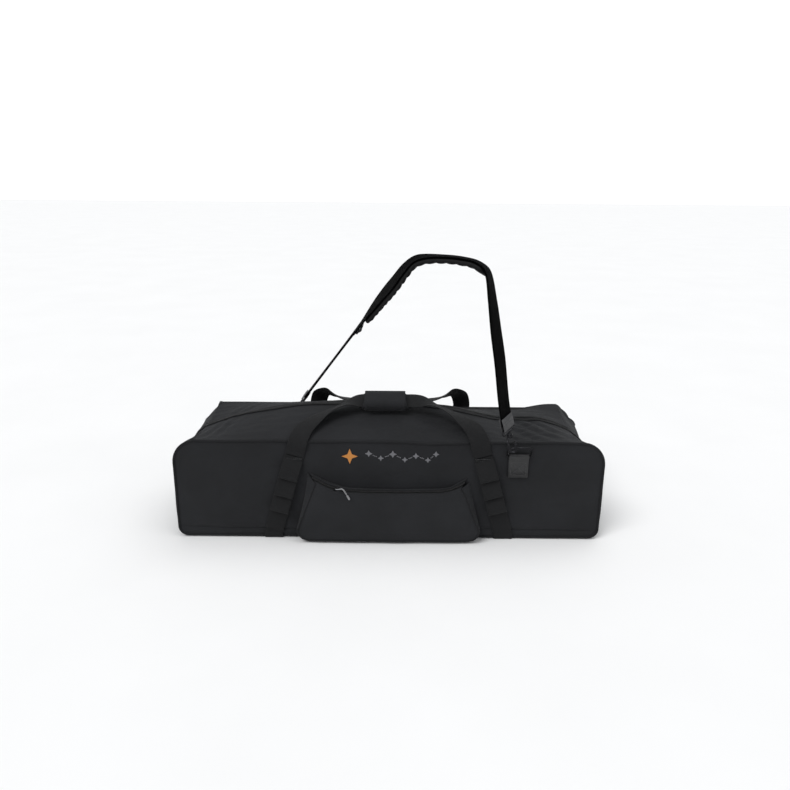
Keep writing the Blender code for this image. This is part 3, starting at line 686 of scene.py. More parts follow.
def build_piping():
    """The cord round the front and back panels, which sags with the top seams."""
    for side, name in SIDES:
        points = []
        for x, z in seam_loop(side):
            wobble = 0.0005 * ripple((x, z, side), 18, 9.0)
            drop = seam_sag(x, side) if z > SEAM_Z - 0.001 else 0.0
            points.append((x, side * (SEAM_Y + 0.0008 + wobble), z - drop + 0.3 * wobble))
        made = tube(name + "_piping_cord", points, PIPING_R, "piping", "case", cyclic=True)
        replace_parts(made, name + "_piping")


# ---- webbing on the case --------------------------------------------------------------
BAND_X_LOW = 0.236                     # a band's middle at the base
BAND_UPRIGHT = 0.012                   # up to here it runs straight up
BAND_X_TOP = {-1: 0.1885, 1: 0.165}    # its middle where it leaves the panel
BAND_SEAM_Z = 0.180
BAND_FOOT_Z = 0.006
LOOP_SEAMS = (0.066, 0.099, 0.135, 0.176)
LOOP_BULGE = 0.0100
LOOP_HANG = 0.0085


def band_x(z, side):
    """How far from the middle a band runs at a height."""
    lean = (BAND_X_LOW - BAND_X_TOP[side]) / (BAND_SEAM_Z - BAND_UPRIGHT)
    return BAND_X_LOW - lean * max(0.0, z - BAND_UPRIGHT)


def band_point(hand, side, z, stand_off):
    """A point in front of the panel, on a band's middle line."""
    x = hand * band_x(z, side)
    return Vector((x, side * (SEAM_Y + 0.0012 + panel_swell(x, z, side) + stand_off), z))


def build_bands():
    """The webbing that runs down the front, under the base and up the back."""
    for hand, name in HANDS:
        points, normals = [], []
        for side in (-1, 1):
            heights = [BAND_FOOT_Z + (BAND_SEAM_Z - BAND_FOOT_Z) * k / 30
                       for k in range(30, -1, -1)]
            leg = [(band_point(hand, side, z, 0.0022), Vector((0, side, 0))) for z in heights]
            x = hand * BAND_X_LOW
            corner = ((0.002, 0.0018, 0.8), (-0.0006, -0.0002, 0.5), (-0.0010, -0.004, 0.0),
                      (-0.0010, -0.030, 0.0), (-0.0010, -0.070, 0.0))
            leg += [(Vector((x, side * (HALF_D + dy), z)), Vector((0, side * n, n - 1)))
                    for z, dy, n in corner]
            for point, normal in leg if side < 0 else leg[::-1]:
                points.append(point)
                normals.append(normal)
        made = ribbon("band_webbing_" + name, points, normals, WEBBING, WEB_THICK, "webbing",
                      "case")
        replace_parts(made, "band_" + name)
        for side, where in SIDES:
            build_gear_loops(hand, side, where + "_" + name)


def build_gear_loops(hand, side, name):
    """The strip over the band, which puckers between the places where it is sewn down."""
    stand_off = 0.0040
    points, stitches = [], []
    for low, high in zip(LOOP_SEAMS, LOOP_SEAMS[1:]):
        for step in range(14):
            t = step / 14
            bulge = sin(pi * t ** 0.6)
            z = low + (high - low) * t - LOOP_HANG * bulge
            points.append(band_point(hand, side, z, stand_off + LOOP_BULGE * bulge))
    points.append(band_point(hand, side, LOOP_SEAMS[-1], stand_off))
    normals = [Vector((0, side, 0))] * len(points)
    made = ribbon("gear_loop_webbing_" + name, points, normals, WEBBING, WEB_THICK,
                  "webbing", "case")
    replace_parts(made, "gear_loops_" + name)
    for z in LOOP_SEAMS:
        for row in (-0.0016, 0.0016):
            centre = band_point(hand, side, z + row, 0.0052)
            for k in range(9):
                spot = centre + Vector(((k - 4) * 0.0039, 0, 0))
                stitches.append(block(spot, 0.0013, 0.0004, 0.0003))
    join_boxes("bar_tacks_" + name, stitches, "seam_thread", "case", "webbing", 0.0001)


# Half of each handle, from the band to its middle, and how its face leans on the way.
HANDLE = {
    -1: ((0.1820, -0.1285, 0.2050), (0.1770, -0.1205, 0.2205), (0.1660, -0.0980, 0.2335),
         (0.1350, -0.0660, 0.2490), (0.0950, -0.0450, 0.2620), (0.0620, -0.0348, 0.2674),
         (0.0200, -0.0340, 0.2680)),
    1: ((0.1660, 0.1285, 0.2050), (0.1620, 0.1220, 0.2270), (0.1530, 0.1050, 0.2420),
        (0.1340, 0.0870, 0.2480), (0.1130, 0.0700, 0.2440), (0.0750, 0.0520, 0.2415),
        (0.0200, 0.0500, 0.2455))}
HANDLE_LEAN = {
    -1: ((0, 1, 0), (0, 1, 0), (0, 1, 0.2), (0, 0.8, 0.6), (0, 0.35, 0.9), (0, -0.20, 1),
         (0, -0.25, 1), (0, 0.4226, 0.9063)),
    1: ((0, 1, 0), (0, 1, 0), (0, 1, 0.1), (0, 0.9, 0.4), (0, 0.75, 0.65), (0, 0.8, 0.6),
        (0, 0.4, 0.9), (0, 0.1, 1))}


def build_handles():
    """The webbing handles: the front one runs into the grip, the back one lies folded."""
    for side, name in SIDES:
        half = [band_point(1, side, BAND_SEAM_Z + dz, 0.0024) for dz in (0.002, 0.010)]
        half += [Vector(p) for p in HANDLE[side]]
        lean = list(HANDLE_LEAN[side])
        lean += [lean[-1]] * (len(half) - len(lean))
        route, tilt = smooth_route(half, 8), smooth_route(lean, 8)
        points = [Vector((-p.x, p.y, p.z)) for p in route] + [p.copy() for p in route[::-1]]
        normals = [Vector((0, side * n.y, n.z)) for n in tilt + tilt[::-1]]
        made = ribbon("handle_webbing_" + name, points, normals, WEBBING, 0.0020, "webbing",
                      "handle_" + name)
        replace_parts(made, "handle_" + name)


# ---- zips -----------------------------------------------------------------------------
TAPE = 0.0008              # thickness of the zips' tapes


def across_path(points, i):
    """The direction of travel at a step of a path."""
    return (points[min(i + 1, len(points) - 1)] - points[max(i - 1, 0)]).normalized()


def zip_teeth(name, points, normals, side, body, pitch=0.0024):
    """One half of a coil zip: small blocks beside the line where the halves meet."""
    boxes, run, due = [], 0.0, 0.0
    for i in range(1, len(points)):
        step = (points[i] - points[i - 1]).length
        ahead = across_path(points, i)
        while due <= run + step:
            t = (due - run) / step
            middle = points[i - 1].lerp(points[i], t)
            out = normals[i]
            beside = ahead.cross(out).normalized() * side
            axes = Matrix((ahead, beside, out)).transposed().to_4x4()
            spot = Matrix.Translation(middle + beside * 0.0014 + out * 0.0009)
            boxes.append(spot @ axes @ Matrix.Diagonal((0.00075, 0.0013, 0.0008, 1)))
            due += pitch
        run += step
    join_boxes(name, boxes, "coil", body, "zip_tape", 0.0003)


def build_ridge_zip():
    """The zip along the ridge: each half rides on its flap, with a line of stitching."""
    low_x, high_x = -END_LEFT[0][0], END_RIGHT[0][0]
    for side, name in SIDES:
        def tape(u, v, side=side):
            x = low_x + (high_x - low_x) * u
            y = side * (0.0022 + 0.0098 * v)
            base = top_point(x, y / SEAM_Y)
            return base + Vector((0, 0, 0.0012 + 0.0004 * sin(pi * v)))
        made = grid("ridge_tape_" + name, tape, 200, 5, (high_x - low_x, 0.010), "zip_tape",
                    "flap_" + name, thick=TAPE, flip=side > 0)
        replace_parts(made, "ridge_zip_" + name)
        steps = 160
        points = [top_point(low_x + (high_x - low_x) * i / steps, side * 0.006)
                  for i in range(steps + 1)]
        points = [Vector((p.x, side * 0.0002, p.z + 0.0002)) for p in points]
        zip_teeth("ridge_coil_" + name, points, [UP] * (steps + 1), -side,
                  "flap_" + name)
        stitches = [top_point(low_x + (high_x - low_x) * i / steps, side * 0.092)
                    + Vector((0, 0, 0.0010)) for i in range(steps + 1)]
        tube("ridge_seam_" + name, stitches, 0.0005, "seam_thread", "flap_" + name, "webbing")


END_ZIP_V = 0.60           # how far down the end panels the zip runs


def end_out(side, v, t):
    """A point of an end panel with the direction straight out of it."""
    point = end_point(side, v, t)
    slope = end_point(side, v + 0.01, t) - point
    return point, Vector((side * -slope.z, 0, side * slope.x)).normalized()


def build_end_zips():
    """The zip's ends, which run down the middle of the end panels."""
    for side, name in HANDS:
        for half, half_name in SIDES:
            def tape(u, v, side=side, half=half):
                t = half * (0.0020 + 0.0095 * v) / SEAM_Y
                point, out = end_out(side, u * END_ZIP_V, t)
                return point + out * (0.0012 + 0.0004 * sin(pi * v))
            made = grid("end_tape_%s_%s" % (name, half_name), tape, 60, 4, (0.17, 0.010),
                        "zip_tape", "case", thick=TAPE, flip=side * half > 0)
            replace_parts(made, "end_zip_" + name)
        steps = 70
        points, normals = [], []
        for i in range(steps + 1):
            point, out = end_out(side, END_ZIP_V * i / steps, 0)
            normals.append(out)
            points.append(point + out * 0.0004)
        for half in (-1, 1):
            zip_teeth("end_coil_%s_%d" % (name, half + 1), points, normals, half, "case")
        stop = block(points[-1] + Vector((side * 0.001, 0, 0)), 0.0012, 0.0036, 0.0022)
        join_boxes("zip_stop_" + name, [stop], "black_metal", "case", bevel=0.0006)


def plate(name, outline, thickness, place, look, body, record_slot=None, hole=None,
          bevel=0.0003):
    """A flat plate from an outline in its own X and Y, put in place by a matrix. A hole is
    a second outline with as many points."""
    shape = bmesh.new()
    half = thickness / 2
    rings = [[shape.verts.new((x, y, z)) for x, y in outline] for z in (-half, half)]
    count = len(outline)
    for i in range(count):
        n = (i + 1) % count
        shape.faces.new((rings[0][i], rings[0][n], rings[1][n], rings[1][i]))
    if hole:
        inner = [[shape.verts.new((x, y, z)) for x, y in hole] for z in (-half, half)]
        for i in range(count):
            n = (i + 1) % count
            shape.faces.new((inner[0][n], inner[0][i], inner[1][i], inner[1][n]))
            shape.faces.new((rings[0][n], rings[0][i], inner[0][i], inner[0][n]))
            shape.faces.new((rings[1][i], rings[1][n], inner[1][n], inner[1][i]))
    else:
        shape.faces.new(rings[0][::-1])
        shape.faces.new(rings[1])
    bmesh.ops.recalc_face_normals(shape, faces=shape.faces)
    sharp = [edge for edge in shape.edges if edge.calc_face_angle(0) > 0.7]
    bmesh.ops.bevel(shape, geom=sharp, offset=bevel, segments=2, affect="EDGES",
                    clamp_overlap=True)
    shape.transform(place)
    made = add_shape(name, shape, look, body, record_slot)
    made.data.set_sharp_from_angle(angle=radians(35))
    return made


def rounded(half_x, low_y, high_y, radius_low, radius_high=None, steps=5):
    """A rounded rectangle, anticlockwise from its lower left corner."""
    top = radius_low if radius_high is None else radius_high
    points = arc((-half_x + radius_low, low_y + radius_low), radius_low, 180, 270, steps)
    points += arc((half_x - radius_low, low_y + radius_low), radius_low, 270, 360, steps)
    points += arc((half_x - top, high_y - top), top, 0, 90, steps)
    return points + arc((-half_x + top, high_y - top), top, 90, 180, steps)


def facing(origin, across, up):
    """A matrix whose X is across and whose Y is up; its Z faces out of the plate."""
    x = Vector(across).normalized()
    y = (Vector(up) - x * x.dot(Vector(up))).normalized()
    turned = Matrix((x, y, x.cross(y))).transposed().to_4x4()
    return Matrix.Translation(origin) @ turned


def build_end_sliders():
    """A slider at each end of the zip, with a long metal pull."""
    for side, name in HANDS:
        low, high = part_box("zip_slider_" + name)
        middle = (low + high) / 2
        place = facing(middle, (0, side, 0), (0, 0, 1))
        outline = [(-0.0035, -0.0060), (0.0035, -0.0060), (0.0042, -0.0010), (0.0054, 0.0030),
                   (0.0054, 0.0060), (0.0010, 0.0048), (0, 0.0040), (-0.0010, 0.0048),
                   (-0.0054, 0.0060), (-0.0054, 0.0030), (-0.0042, -0.0010)]
        made = plate("slider_plate_" + name, outline, 0.0030, place, "black_metal",
                     "zip_slider_" + name, bevel=0.0005)
        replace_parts(made, "zip_slider_" + name)
        bridge = [place @ Vector((0, y, z)) for y, z in
                  arc((0, 0.0012), 0.0034, 180, 0, 10)]
        tube("slider_bridge_" + name, bridge, 0.0008, "black_metal", "zip_slider_" + name)
        low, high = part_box("zip_pull_" + name)
        hang = facing(((low.x + high.x) / 2, 0, high.z - 0.001), (0, side, 0), (0, 0, 1))
        outer = rounded(0.0036, -0.0280, 0.0014, 0.0030, 0.0022)
        inner = rounded(0.0014, -0.0245, -0.0150, 0.0013)
        made = plate("pull_plate_" + name, outer, 0.0014, hang, "black_metal",
                     "zip_pull_" + name, hole=inner)
        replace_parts(made, "zip_pull_" + name)


# ---- the pocket -----------------------------------------------------------------------
POCKET_BASE = 0.184
POCKET_RADIUS = 0.022
POCKET_FACE = 0.146        # half-width of its face along the zip
POCKET_FOOT = 0.0045
POCKET_RIM = 0.118         # where the sides of the pocket's outline end
POCKET_THICK = 0.0012
POCKET_SMILE = ((-0.152, 0.1275), (-0.141, 0.1245), (-0.120, 0.1160), (-0.100, 0.1110),
                (-0.070, 0.1088), (0.0, 0.1082), (0.070, 0.1086), (0.100, 0.1092),
                (0.120, 0.1105), (0.135, 0.1125), (0.145, 0.1175), (0.152, 0.1245))
POCKET_BACK = ((-0.162, 0.1460), (-0.145, 0.1370), (-0.125, 0.1260), (-0.100, 0.1165),
               (-0.080, 0.1120), (0.0, 0.1100), (0.080, 0.1110), (0.110, 0.1125),
               (0.128, 0.1175), (0.145, 0.1290), (0.162, 0.1395))


def pocket_half(z):
    """Half-width of the pocket at a height."""
    corner = POCKET_FOOT + POCKET_RADIUS
    if z < corner:
        return POCKET_BASE - POCKET_RADIUS + sqrt(POCKET_RADIUS ** 2 - (corner - z) ** 2)
    return POCKET_BASE - (POCKET_BASE - POCKET_FACE) * (z - corner) / (POCKET_RIM - corner)


def pocket_depth(u, v):
    """How far a point of the face stands from the panel, for u from -1 to 1 and v from the
    foot to the zip. The upper corners are drawn back by the ends of the zip."""
    belly = 0.0045 * cos(pi / 2 * u) ** 0.6 * sin(pi * min(1.0, 0.15 + 0.8 * v)) ** 0.8
    drawn = 0.012 * v ** 3 * abs(u) ** 7
    tuck = 0.004 * (1 - v) ** 6
    folds = 0.0011 * ripple((u * 1.2, v, 0), 2.6, 1.9) * (1 - u * u)
    sag = 0.0016 * sin(9 * v + 1.5 * abs(u)) * (1 - abs(u)) ** 0.5 * v * (1 - v) * 4
    pulled = 0.0018 * cos(7 * pi * abs(u)) * max(0.0, abs(u) - 0.55) * v * (1 - v) * 4
    return 0.0262 + belly - drawn - tuck + folds + 0.4 * sag + pulled


def pocket_point(u, v):
    z_flat = POCKET_FOOT + (POCKET_RIM - POCKET_FOOT) * v
    x = u * pocket_half(z_flat)
    z = POCKET_FOOT + (follow(POCKET_SMILE, x) - POCKET_FOOT) * v
    return Vector((x, -HALF_D - pocket_depth(u, v), z))


def pocket_rim(steps=36):
    """The face's edge from its upper left corner, down, along the foot and up again."""
    side = [pocket_point(-1, 1 - i / steps) for i in range(steps)]
    foot = [pocket_point(-1 + 2 * i / steps, 0) for i in range(steps + 1)]
    other = [pocket_point(1, (i + 1) / steps) for i in range(steps)]
    return side + foot + other


def wall_half(edge):
    """Half-width of the pocket where its side wall meets the panel."""
    corner = POCKET_FOOT + POCKET_RADIUS
    if edge.z < corner:
        return abs(edge.x) + 0.001
    share = min(1.0, (edge.z - corner) / (0.125 - corner))
    return POCKET_BASE + 0.001 + (0.162 - POCKET_BASE - 0.001) * share


def build_pocket():
    """The face, the walls that join it to the front panel, its piping and its zip."""
    def face(u, v):
        return pocket_point(2 * u - 1, v)
    padded_sheet("pocket_face", 0.3, "pocket_cloth", face, 96, 48, (0.36, 0.115),
                 "pocket_fabric", "case", "shell_fabric", thick=POCKET_THICK)
    rim = pocket_rim()

    def wall(u, v):
        spot = u * (len(rim) - 1)
        i = min(int(spot), len(rim) - 2)
        edge = rim[i].lerp(rim[i + 1], spot - i)
        back = -SEAM_Y - panel_swell(edge.x, max(edge.z, 0.004), -1) + 0.0005
        target_x = wall_half(edge) if edge.z > POCKET_FOOT + 0.010 else abs(edge.x)
        spread = 1 + (target_x / max(abs(edge.x), 1e-6) - 1) * v
        bow = sin(pi * v) * (0.0014 + 0.0010 * ripple((edge.x, edge.z, v * 0.05), 34, 3.3))
        out = Vector((edge.x, 0, edge.z - 0.07)).normalized()
        climb = max(0.0, (edge.z - 0.085) / 0.040) ** 2
        lift = (follow(POCKET_BACK, edge.x * 1.11) - 0.1260) * v * min(1.0, climb)
        point = Vector((edge.x * spread, edge.y + (back - edge.y) * v, edge.z + lift))
        point += out * bow
        point.z = max(point.z, 0.0024)
        return point
    padded_sheet("pocket_gusset", 0.3, "pocket_wall", wall, 150, 14, (0.60, 0.028),
                 "pocket_fabric", "case", "shell_fabric", thick=-POCKET_THICK, flip=True)
    cord = [point + Vector((0, -0.0004, 0)) for point in rim]
    made = tube("pocket_piping_cord", cord, 0.0014, "piping", "case")
    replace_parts(made, "pocket_piping")
    build_pocket_zip()


def pocket_top(x, v):
    """The zip band, for x from -1 to 1: v runs from the face's top edge to the panel."""
    u = max(-1.0, min(1.0, x))
    front = pocket_point(u, 1)
    back_x = 0.161 * u
    back = Vector((back_x, -SEAM_Y - 0.0030, follow(POCKET_BACK, back_x)))
    point = front.lerp(back, v)
    point.z += (0.0020 + 0.0007 * ripple((x * 0.15, v * 0.03, 0), 40, 7.7)) * sin(pi * v)
    return point


def build_pocket_zip():
    """Hems, tapes and coils along the pocket's mouth, and the slider."""
    middle, gap = 0.42, 0.045      # where the coil runs across the band, and its half-width

    def strip(low, high, name, look, lift, thick):
        def place(u, v):
            return pocket_top(2 * u - 1, low + (high - low) * v) + Vector((0, 0, lift))
        return grid(name, place, 110, 8, (0.31, 0.028 * (high - low)), look, "case",
                    "zip_tape" if look == "zip_tape" else "shell_fabric", thick=thick)
    tape, hem = ("zip_tape", -0.0006, 0.0006), ("pocket_fabric", 0.0, 0.001)
    for name, low, high, kind in (("pocket_hem_front", 0.0, 0.20, hem),
                                  ("pocket_tape_front", 0.12, middle - gap, tape),
                                  ("pocket_tape_back", middle + gap, 0.72, tape),
                                  ("pocket_hem_back", 0.64, 1.0, hem)):
        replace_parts(strip(low, high, name, *kind), "pocket_zip")
    steps = 110
    points = [pocket_top(2 * i / steps - 1, middle) + Vector((0, 0, -0.0008))
              for i in range(steps + 1)]
    for side in (-1, 1):
        zip_teeth("pocket_coil_%d" % (side + 1), points, [UP] * (steps + 1), side, "case",
                  0.0022)
    low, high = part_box("pocket_slider")
    centre = Vector(((low.x + high.x) / 2, (low.y + high.y) / 2, low.z + 0.0006))
    place = facing(centre, (0, -1, 0), (1, 0, 0))
    outline = [(-0.0035, 0.0060), (0.0035, 0.0060), (0.0048, -0.0010), (0.0048, -0.0060),
               (-0.0048, -0.0060), (-0.0048, -0.0010)][::-1]
    made = plate("pocket_slider_plate", outline, 0.0036, place, "black_metal", "pocket_slider",
                 bevel=0.0006)
    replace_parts(made, "pocket_slider")
    bridge = [centre + Vector((x, 0, z)) for x, z in arc((0.001, 0.0016), 0.0034, 180, 0, 10)]
    tube("pocket_slider_bridge", bridge, 0.0008, "black_metal", "pocket_slider")
    build_pocket_pull(centre)


def build_pocket_pull(centre):
    """A small metal link with a loop of grey cord that hangs over the pocket's edge."""
    low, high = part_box("pocket_pull")
    z = (low.z + high.z) / 2
    link = facing(Vector((low.x + 0.001, centre.y, z)), (0, 1, 0), (1, 0, 0))
    outer = rounded(0.0034, -0.0016, 0.0125, 0.0016, 0.0030)
    inner = rounded(0.0014, 0.0065, 0.0105, 0.0012)
    made = plate("pocket_pull_link", outer, 0.0013, link, "pull_grey", "pocket_pull",
                 hole=inner)
    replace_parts(made, "pocket_pull")
    start = Vector((low.x + 0.0095, centre.y, z))
    for side, name in ((-1, "near"), (1, "far")):
        loop = [start, start + Vector((0.003, -0.003 + side * 0.0012, 0.0016)),
                start + Vector((0.008, -0.009 + side * 0.0016, 0.0004)),
                start + Vector((0.012, -0.0145 + side * 0.0012, -0.0030)),
                start + Vector((0.015, -0.0165, -0.0075))]
        tube("pull_cord_" + name, smooth_route(loop, 6), 0.0009, "pull_cord", "pocket_pull",
             "pull_grey")
    end = loop[-1]
    tip = [end, end + Vector((0.0024, -0.0003, -0.0042)), end + Vector((0.0042, 0, -0.0078))]
    tube("pull_tip", smooth_route(tip, 4), 0.0019, "pull_cord", "pocket_pull", "pull_grey")


# ---- padded pieces --------------------------------------------------------------------
def padded_form(name, shape, look, body, pressure, cap, pinned, record_slot=None, voxel=0.004):
    """Turn a closed shape into padded cloth: remesh it, blow it up a little, and keep what
    pinned(point) says is sewn down."""
    made = link_object(name, shape_mesh(name, shape))
    remesh = made.modifiers.new("remesh", "REMESH")
    remesh.mode = "VOXEL"
    remesh.voxel_size = voxel
    bake_modifiers(made)
    before = [vertex.co.copy() for vertex in made.data.vertices]
    group = made.vertex_groups.new(name="sewn")
    for vertex in made.data.vertices:
        group.add([vertex.index], pinned(vertex.co), "REPLACE")
    cloth_modifier = made.modifiers.new("cloth", "CLOTH")
    settings = cloth_modifier.settings
    settings.vertex_group_mass = "sewn"
    settings.use_pressure = True
    settings.uniform_pressure_force = pressure
    settings.effector_weights.gravity = 0
    settings.quality = 5
    settings.tension_stiffness = settings.compression_stiffness = 12
    settings.bending_stiffness = 0.4
    for step in range(1, 21):
        bpy.context.scene.frame_set(step)
    bake_modifiers(made)
    bpy.context.scene.frame_set(1)
    for vertex, old in zip(made.data.vertices, before):
        moved = vertex.co - old
        if moved.length > cap:
            vertex.co = old + moved.normalized() * cap
    smooth = made.modifiers.new("smooth", "SUBSURF")
    smooth.levels = smooth.render_levels = 1
    bake_modifiers(made)
    made.data.shade_smooth()
    return finish_piece(made, look, body, record_slot)


def bake_modifiers(made):
    """Replace an object's mesh with what its modifiers make of it."""
    graph = bpy.context.evaluated_depsgraph_get()
    result = bpy.data.meshes.new_from_object(made.evaluated_get(graph))
    made.modifiers.clear()
    old = made.data
    made.data = result
    bpy.data.meshes.remove(old)


def oblong(half_x, half_y, power_x, power_y, count):
    """A rounded oblong section: the lower the powers, the squarer it is."""
    for k in range(count):
        c, s = cos(2 * pi * k / count), sin(2 * pi * k / count)
        yield (half_x * abs(c) ** power_x * (1 if c > 0 else -1),
               half_y * abs(s) ** power_y * (1 if s > 0 else -1))


def loft(shape, rings):
    """A closed body through rings of points."""
    rows = [[shape.verts.new(point) for point in ring] for ring in rings]
    for low, high in zip(rows, rows[1:]):
        for i in range(len(low)):
            n = (i + 1) % len(low)
            shape.faces.new((low[i], low[n], high[n], high[i]))
    shape.faces.new(rows[0][::-1])
    shape.faces.new(rows[-1])
    bmesh.ops.recalc_face_normals(shape, faces=shape.faces)


WRAP_CENTRE = Vector((-0.009, -0.034, 0.268))
WRAP_TILT = radians(25)
WRAP_LENGTH = 0.096
WRAP_WIDTH = 0.048
WRAP_THICK = 0.024


def build_wrap():
    """The grip: a padded cuff round the front handle, closed by a flap along its back."""
    place = Matrix.Translation(WRAP_CENTRE) @ Matrix.Rotation(WRAP_TILT, 4, "X")
    shape = bmesh.new()
    rings = []
    steps = 24
    for i in range(steps + 1):
        t = 2 * i / steps - 1
        end = 1 - 0.10 * abs(t) ** 6
        half_y = (WRAP_WIDTH / 2 - 0.0015) * end
        half_z = (WRAP_THICK / 2 - 0.0015) * end
        ring = []
        for y, z in oblong(half_y, half_z, 0.62, 0.62, 28):
            lean = 0.0105 * (z / half_z) + 0.004 * (z / half_z) ** 2
            ring.append(place @ Vector((t * (WRAP_LENGTH / 2 - lean), y, z)))
        rings.append(ring)
    loft(shape, rings)
    inward = place.inverted()

    def sewn(point):
        local = inward @ point
        near_end = abs(abs(local.x) - WRAP_LENGTH / 2 + 0.009) < 0.003
        return 0.9 if near_end or abs(local.z) < 0.002 and local.y < 0 else 0.15
    made = padded_form("grip_cuff", shape, "grip_fabric", "handle_front", 5, 0.002, sewn,
                       "shell_fabric", 0.003)
    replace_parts(made, "grip_wrap")
    cover, corner = 0.0018, 0.008
    half = WRAP_WIDTH / 2
    bend = corner + 0.0012 + cover / 2
    middle = (-half + corner, WRAP_THICK / 2 - corner)
    path = [(half - 0.010, middle[1] + bend), (half - 0.020, middle[1] + bend + 0.0004),
            (0.0, middle[1] + bend + 0.0006), (-0.010, middle[1] + bend + 0.0003)]
    path += arc(middle, bend, 90, 180, 8)
    path += [(middle[0] - bend, -0.001), (middle[0] - bend, -0.004)]
    points = [place @ Vector((0, y, z)) for y, z in path]
    normals = [place.to_3x3() @ Vector((0, -dz, dy)) for dy, dz in headings(path)]
    made = ribbon("grip_closing_flap", points, normals, WRAP_LENGTH - 0.012, cover,
                  "grip_fabric", "grip_flap", "shell_fabric")
    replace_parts(made, "grip_flap")


# ---- rings and strap ------------------------------------------------------------------
RING_X = {-1: 0.2585, 1: -0.2508}
TAB_TOP = {-1: 0.183, 1: 0.150}
TAB_WIDTH = 0.040
TAB_HEIGHT = 0.046
RING_WIDTH = 0.042
RING_OUT = 0.0145          # how far a ring leans out from its bar
RING_RISE = 0.0225         # and how far up
RING_R = 0.0022


def ring_place(side):
    """The middle of a ring's bar."""
    return Vector((RING_X[side], side * (HALF_D + 0.0055), TAB_TOP[side] + 0.002))


def build_rings():
    """The D-rings, and the folded tabs that hold them on the front and back panels."""
    for side, name in SIDES:
        bar = ring_place(side)
        reach = sqrt(RING_OUT ** 2 + RING_RISE ** 2)
        outline = rounded(RING_WIDTH / 2 + RING_R, 0, reach, 0.004, 0.010)
        ring = [bar + Vector((u, side * RING_OUT * v / reach, RING_RISE * v / reach))
                for u, v in outline]
        made = tube("ring_wire_" + name, ring, RING_R, "black_metal", "ring_" + name,
                    cyclic=True, sides=5)
        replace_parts(made, "d_ring_" + name)
        low = bar.z - TAB_HEIGHT
        swell = panel_swell(bar.x, bar.z - 0.02, side) + SEAM_Y + 0.0012
        path = [(swell + 0.0010, low), (swell + 0.0010, bar.z - 0.022),
                (swell + 0.0012, bar.z - 0.006)]
        path += [(bar.y * side + dy, bar.z + dz) for dy, dz in arc((0, 0), 0.0036, 195, -35, 10)]
        path += [(swell + 0.0042, bar.z - 0.010), (swell + 0.0036, bar.z - 0.020),
                 (swell + 0.0034, low)]
        points = [Vector((bar.x, side * y, z)) for y, z in path]
        normals = [Vector((0, -side * dz, dy)) for dy, dz in headings(path)]
        made = ribbon("ring_tab_webbing_" + name, points, normals, TAB_WIDTH, 0.0016, "vinyl_black",
                      "case", "webbing")
        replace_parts(made, "ring_tab_" + name)
        face = side * (swell + 0.0045)
        box_x(name, bar.x, face, low + 0.006, low + 0.033)


def box_x(name, x, y, low, high):
    """The sewn box with a cross that holds a ring tab."""
    half = TAB_WIDTH / 2 - 0.005
    corners = [(-half, low), (half, low), (half, high), (-half, high)]
    runs = list(zip(corners, corners[1:] + corners[:1])) + [(corners[0], corners[2]),
                                                           (corners[1], corners[3])]
    boxes = []
    for (x1, z1), (x2, z2) in runs:
        length = sqrt((x2 - x1) ** 2 + (z2 - z1) ** 2)
        count = int(length / 0.0032)
        turn = Matrix.Rotation(-atan2(z2 - z1, x2 - x1), 4, "Y")
        for k in range(count):
            t = (k + 0.5) / count
            spot = Vector((x + x1 + (x2 - x1) * t, y, z1 + (z2 - z1) * t))
            boxes.append(Matrix.Translation(spot) @ turn @ block((0, 0, 0), 0.0011, 0.0004, 0.0004))
    join_boxes("tab_stitches_" + name, boxes, "seam_thread", "case", "webbing", 0.0001)


# The strap's route from its front end, over the shoulder, to the top of its straight leg.
STRAP_ROUTE = ((0.2283, -0.1460, 0.2590), (0.2189, -0.1460, 0.3070), (0.2086, -0.1455, 0.3819),
               (0.1995, -0.1380, 0.4385), (0.1925, -0.1220, 0.4930), (0.1850, -0.1000, 0.5400),
               (0.1680, -0.0780, 0.5580), (0.1365, -0.0550, 0.5645), (0.0975, -0.0300, 0.5650),
               (0.0660, -0.0100, 0.5610), (0.0440, 0.0080, 0.5510), (0.0250, 0.0280, 0.5305),
               (0.0035, 0.0640, 0.4980), (-0.0190, 0.1060, 0.4650), (-0.0435, 0.1410, 0.4280),
               (-0.0665, 0.1580, 0.3925))
LEG_TOP = Vector((-0.0665, 0.1580, 0.3925))
LEG_END = Vector((-0.2015, 0.1580, 0.2140))
# Where each hook hangs in its ring.
HOOKS_ON = {-1: Vector((0.24271, -0.144815, 0.207214)),
            1: Vector((-0.231582, 0.143909, 0.172808))}
HOOK_LENGTH = 0.034
EYE_HEIGHT = 0.013
STRAP_FACE = Vector((0.62, 0.78, 0))   # across the strap at its front end
PAD_TURN = Vector((-0.17, 0, 0.13))    # how far the pad's back edge is lifted
TURN_ALONG = ((8.0, 0.0), (11.0, 1.0), (13.4, 1.0), (15.5, 0.0), (18.0, 0.0))
FINE = 6                   # steps between neighbouring points of the strap's route
PAD_FROM, PAD_TO = 5.0, 14.8     # the pad's ends, in points of the route
PAD_PITCH = 0.024          # between the lines of stitching across the pad
PAD_GAP = 0.0024           # from the strap's middle down to the pad


def strap_line():
    """The strap's points, and its normals: its right end faces the front, and it turns flat
    over the shoulder."""
    points = smooth_route(STRAP_ROUTE, FINE)
    leg = 20
    points += [LEG_TOP.lerp(LEG_END, i / leg) for i in range(1, leg + 1)]
    normals = []
    for i in range(len(points)):
        ahead = across_path(points, i)
        turned = min(1.0, max(0.0, (i - 2 * FINE) / (6 * FINE)))
        across = STRAP_FACE.lerp(Vector((0, 1, 0)), turned * turned * (3 - 2 * turned))
        across += PAD_TURN * follow(TURN_ALONG, i / FINE)
        normals.append(-ahead.cross(across).normalized())
    return points, normals


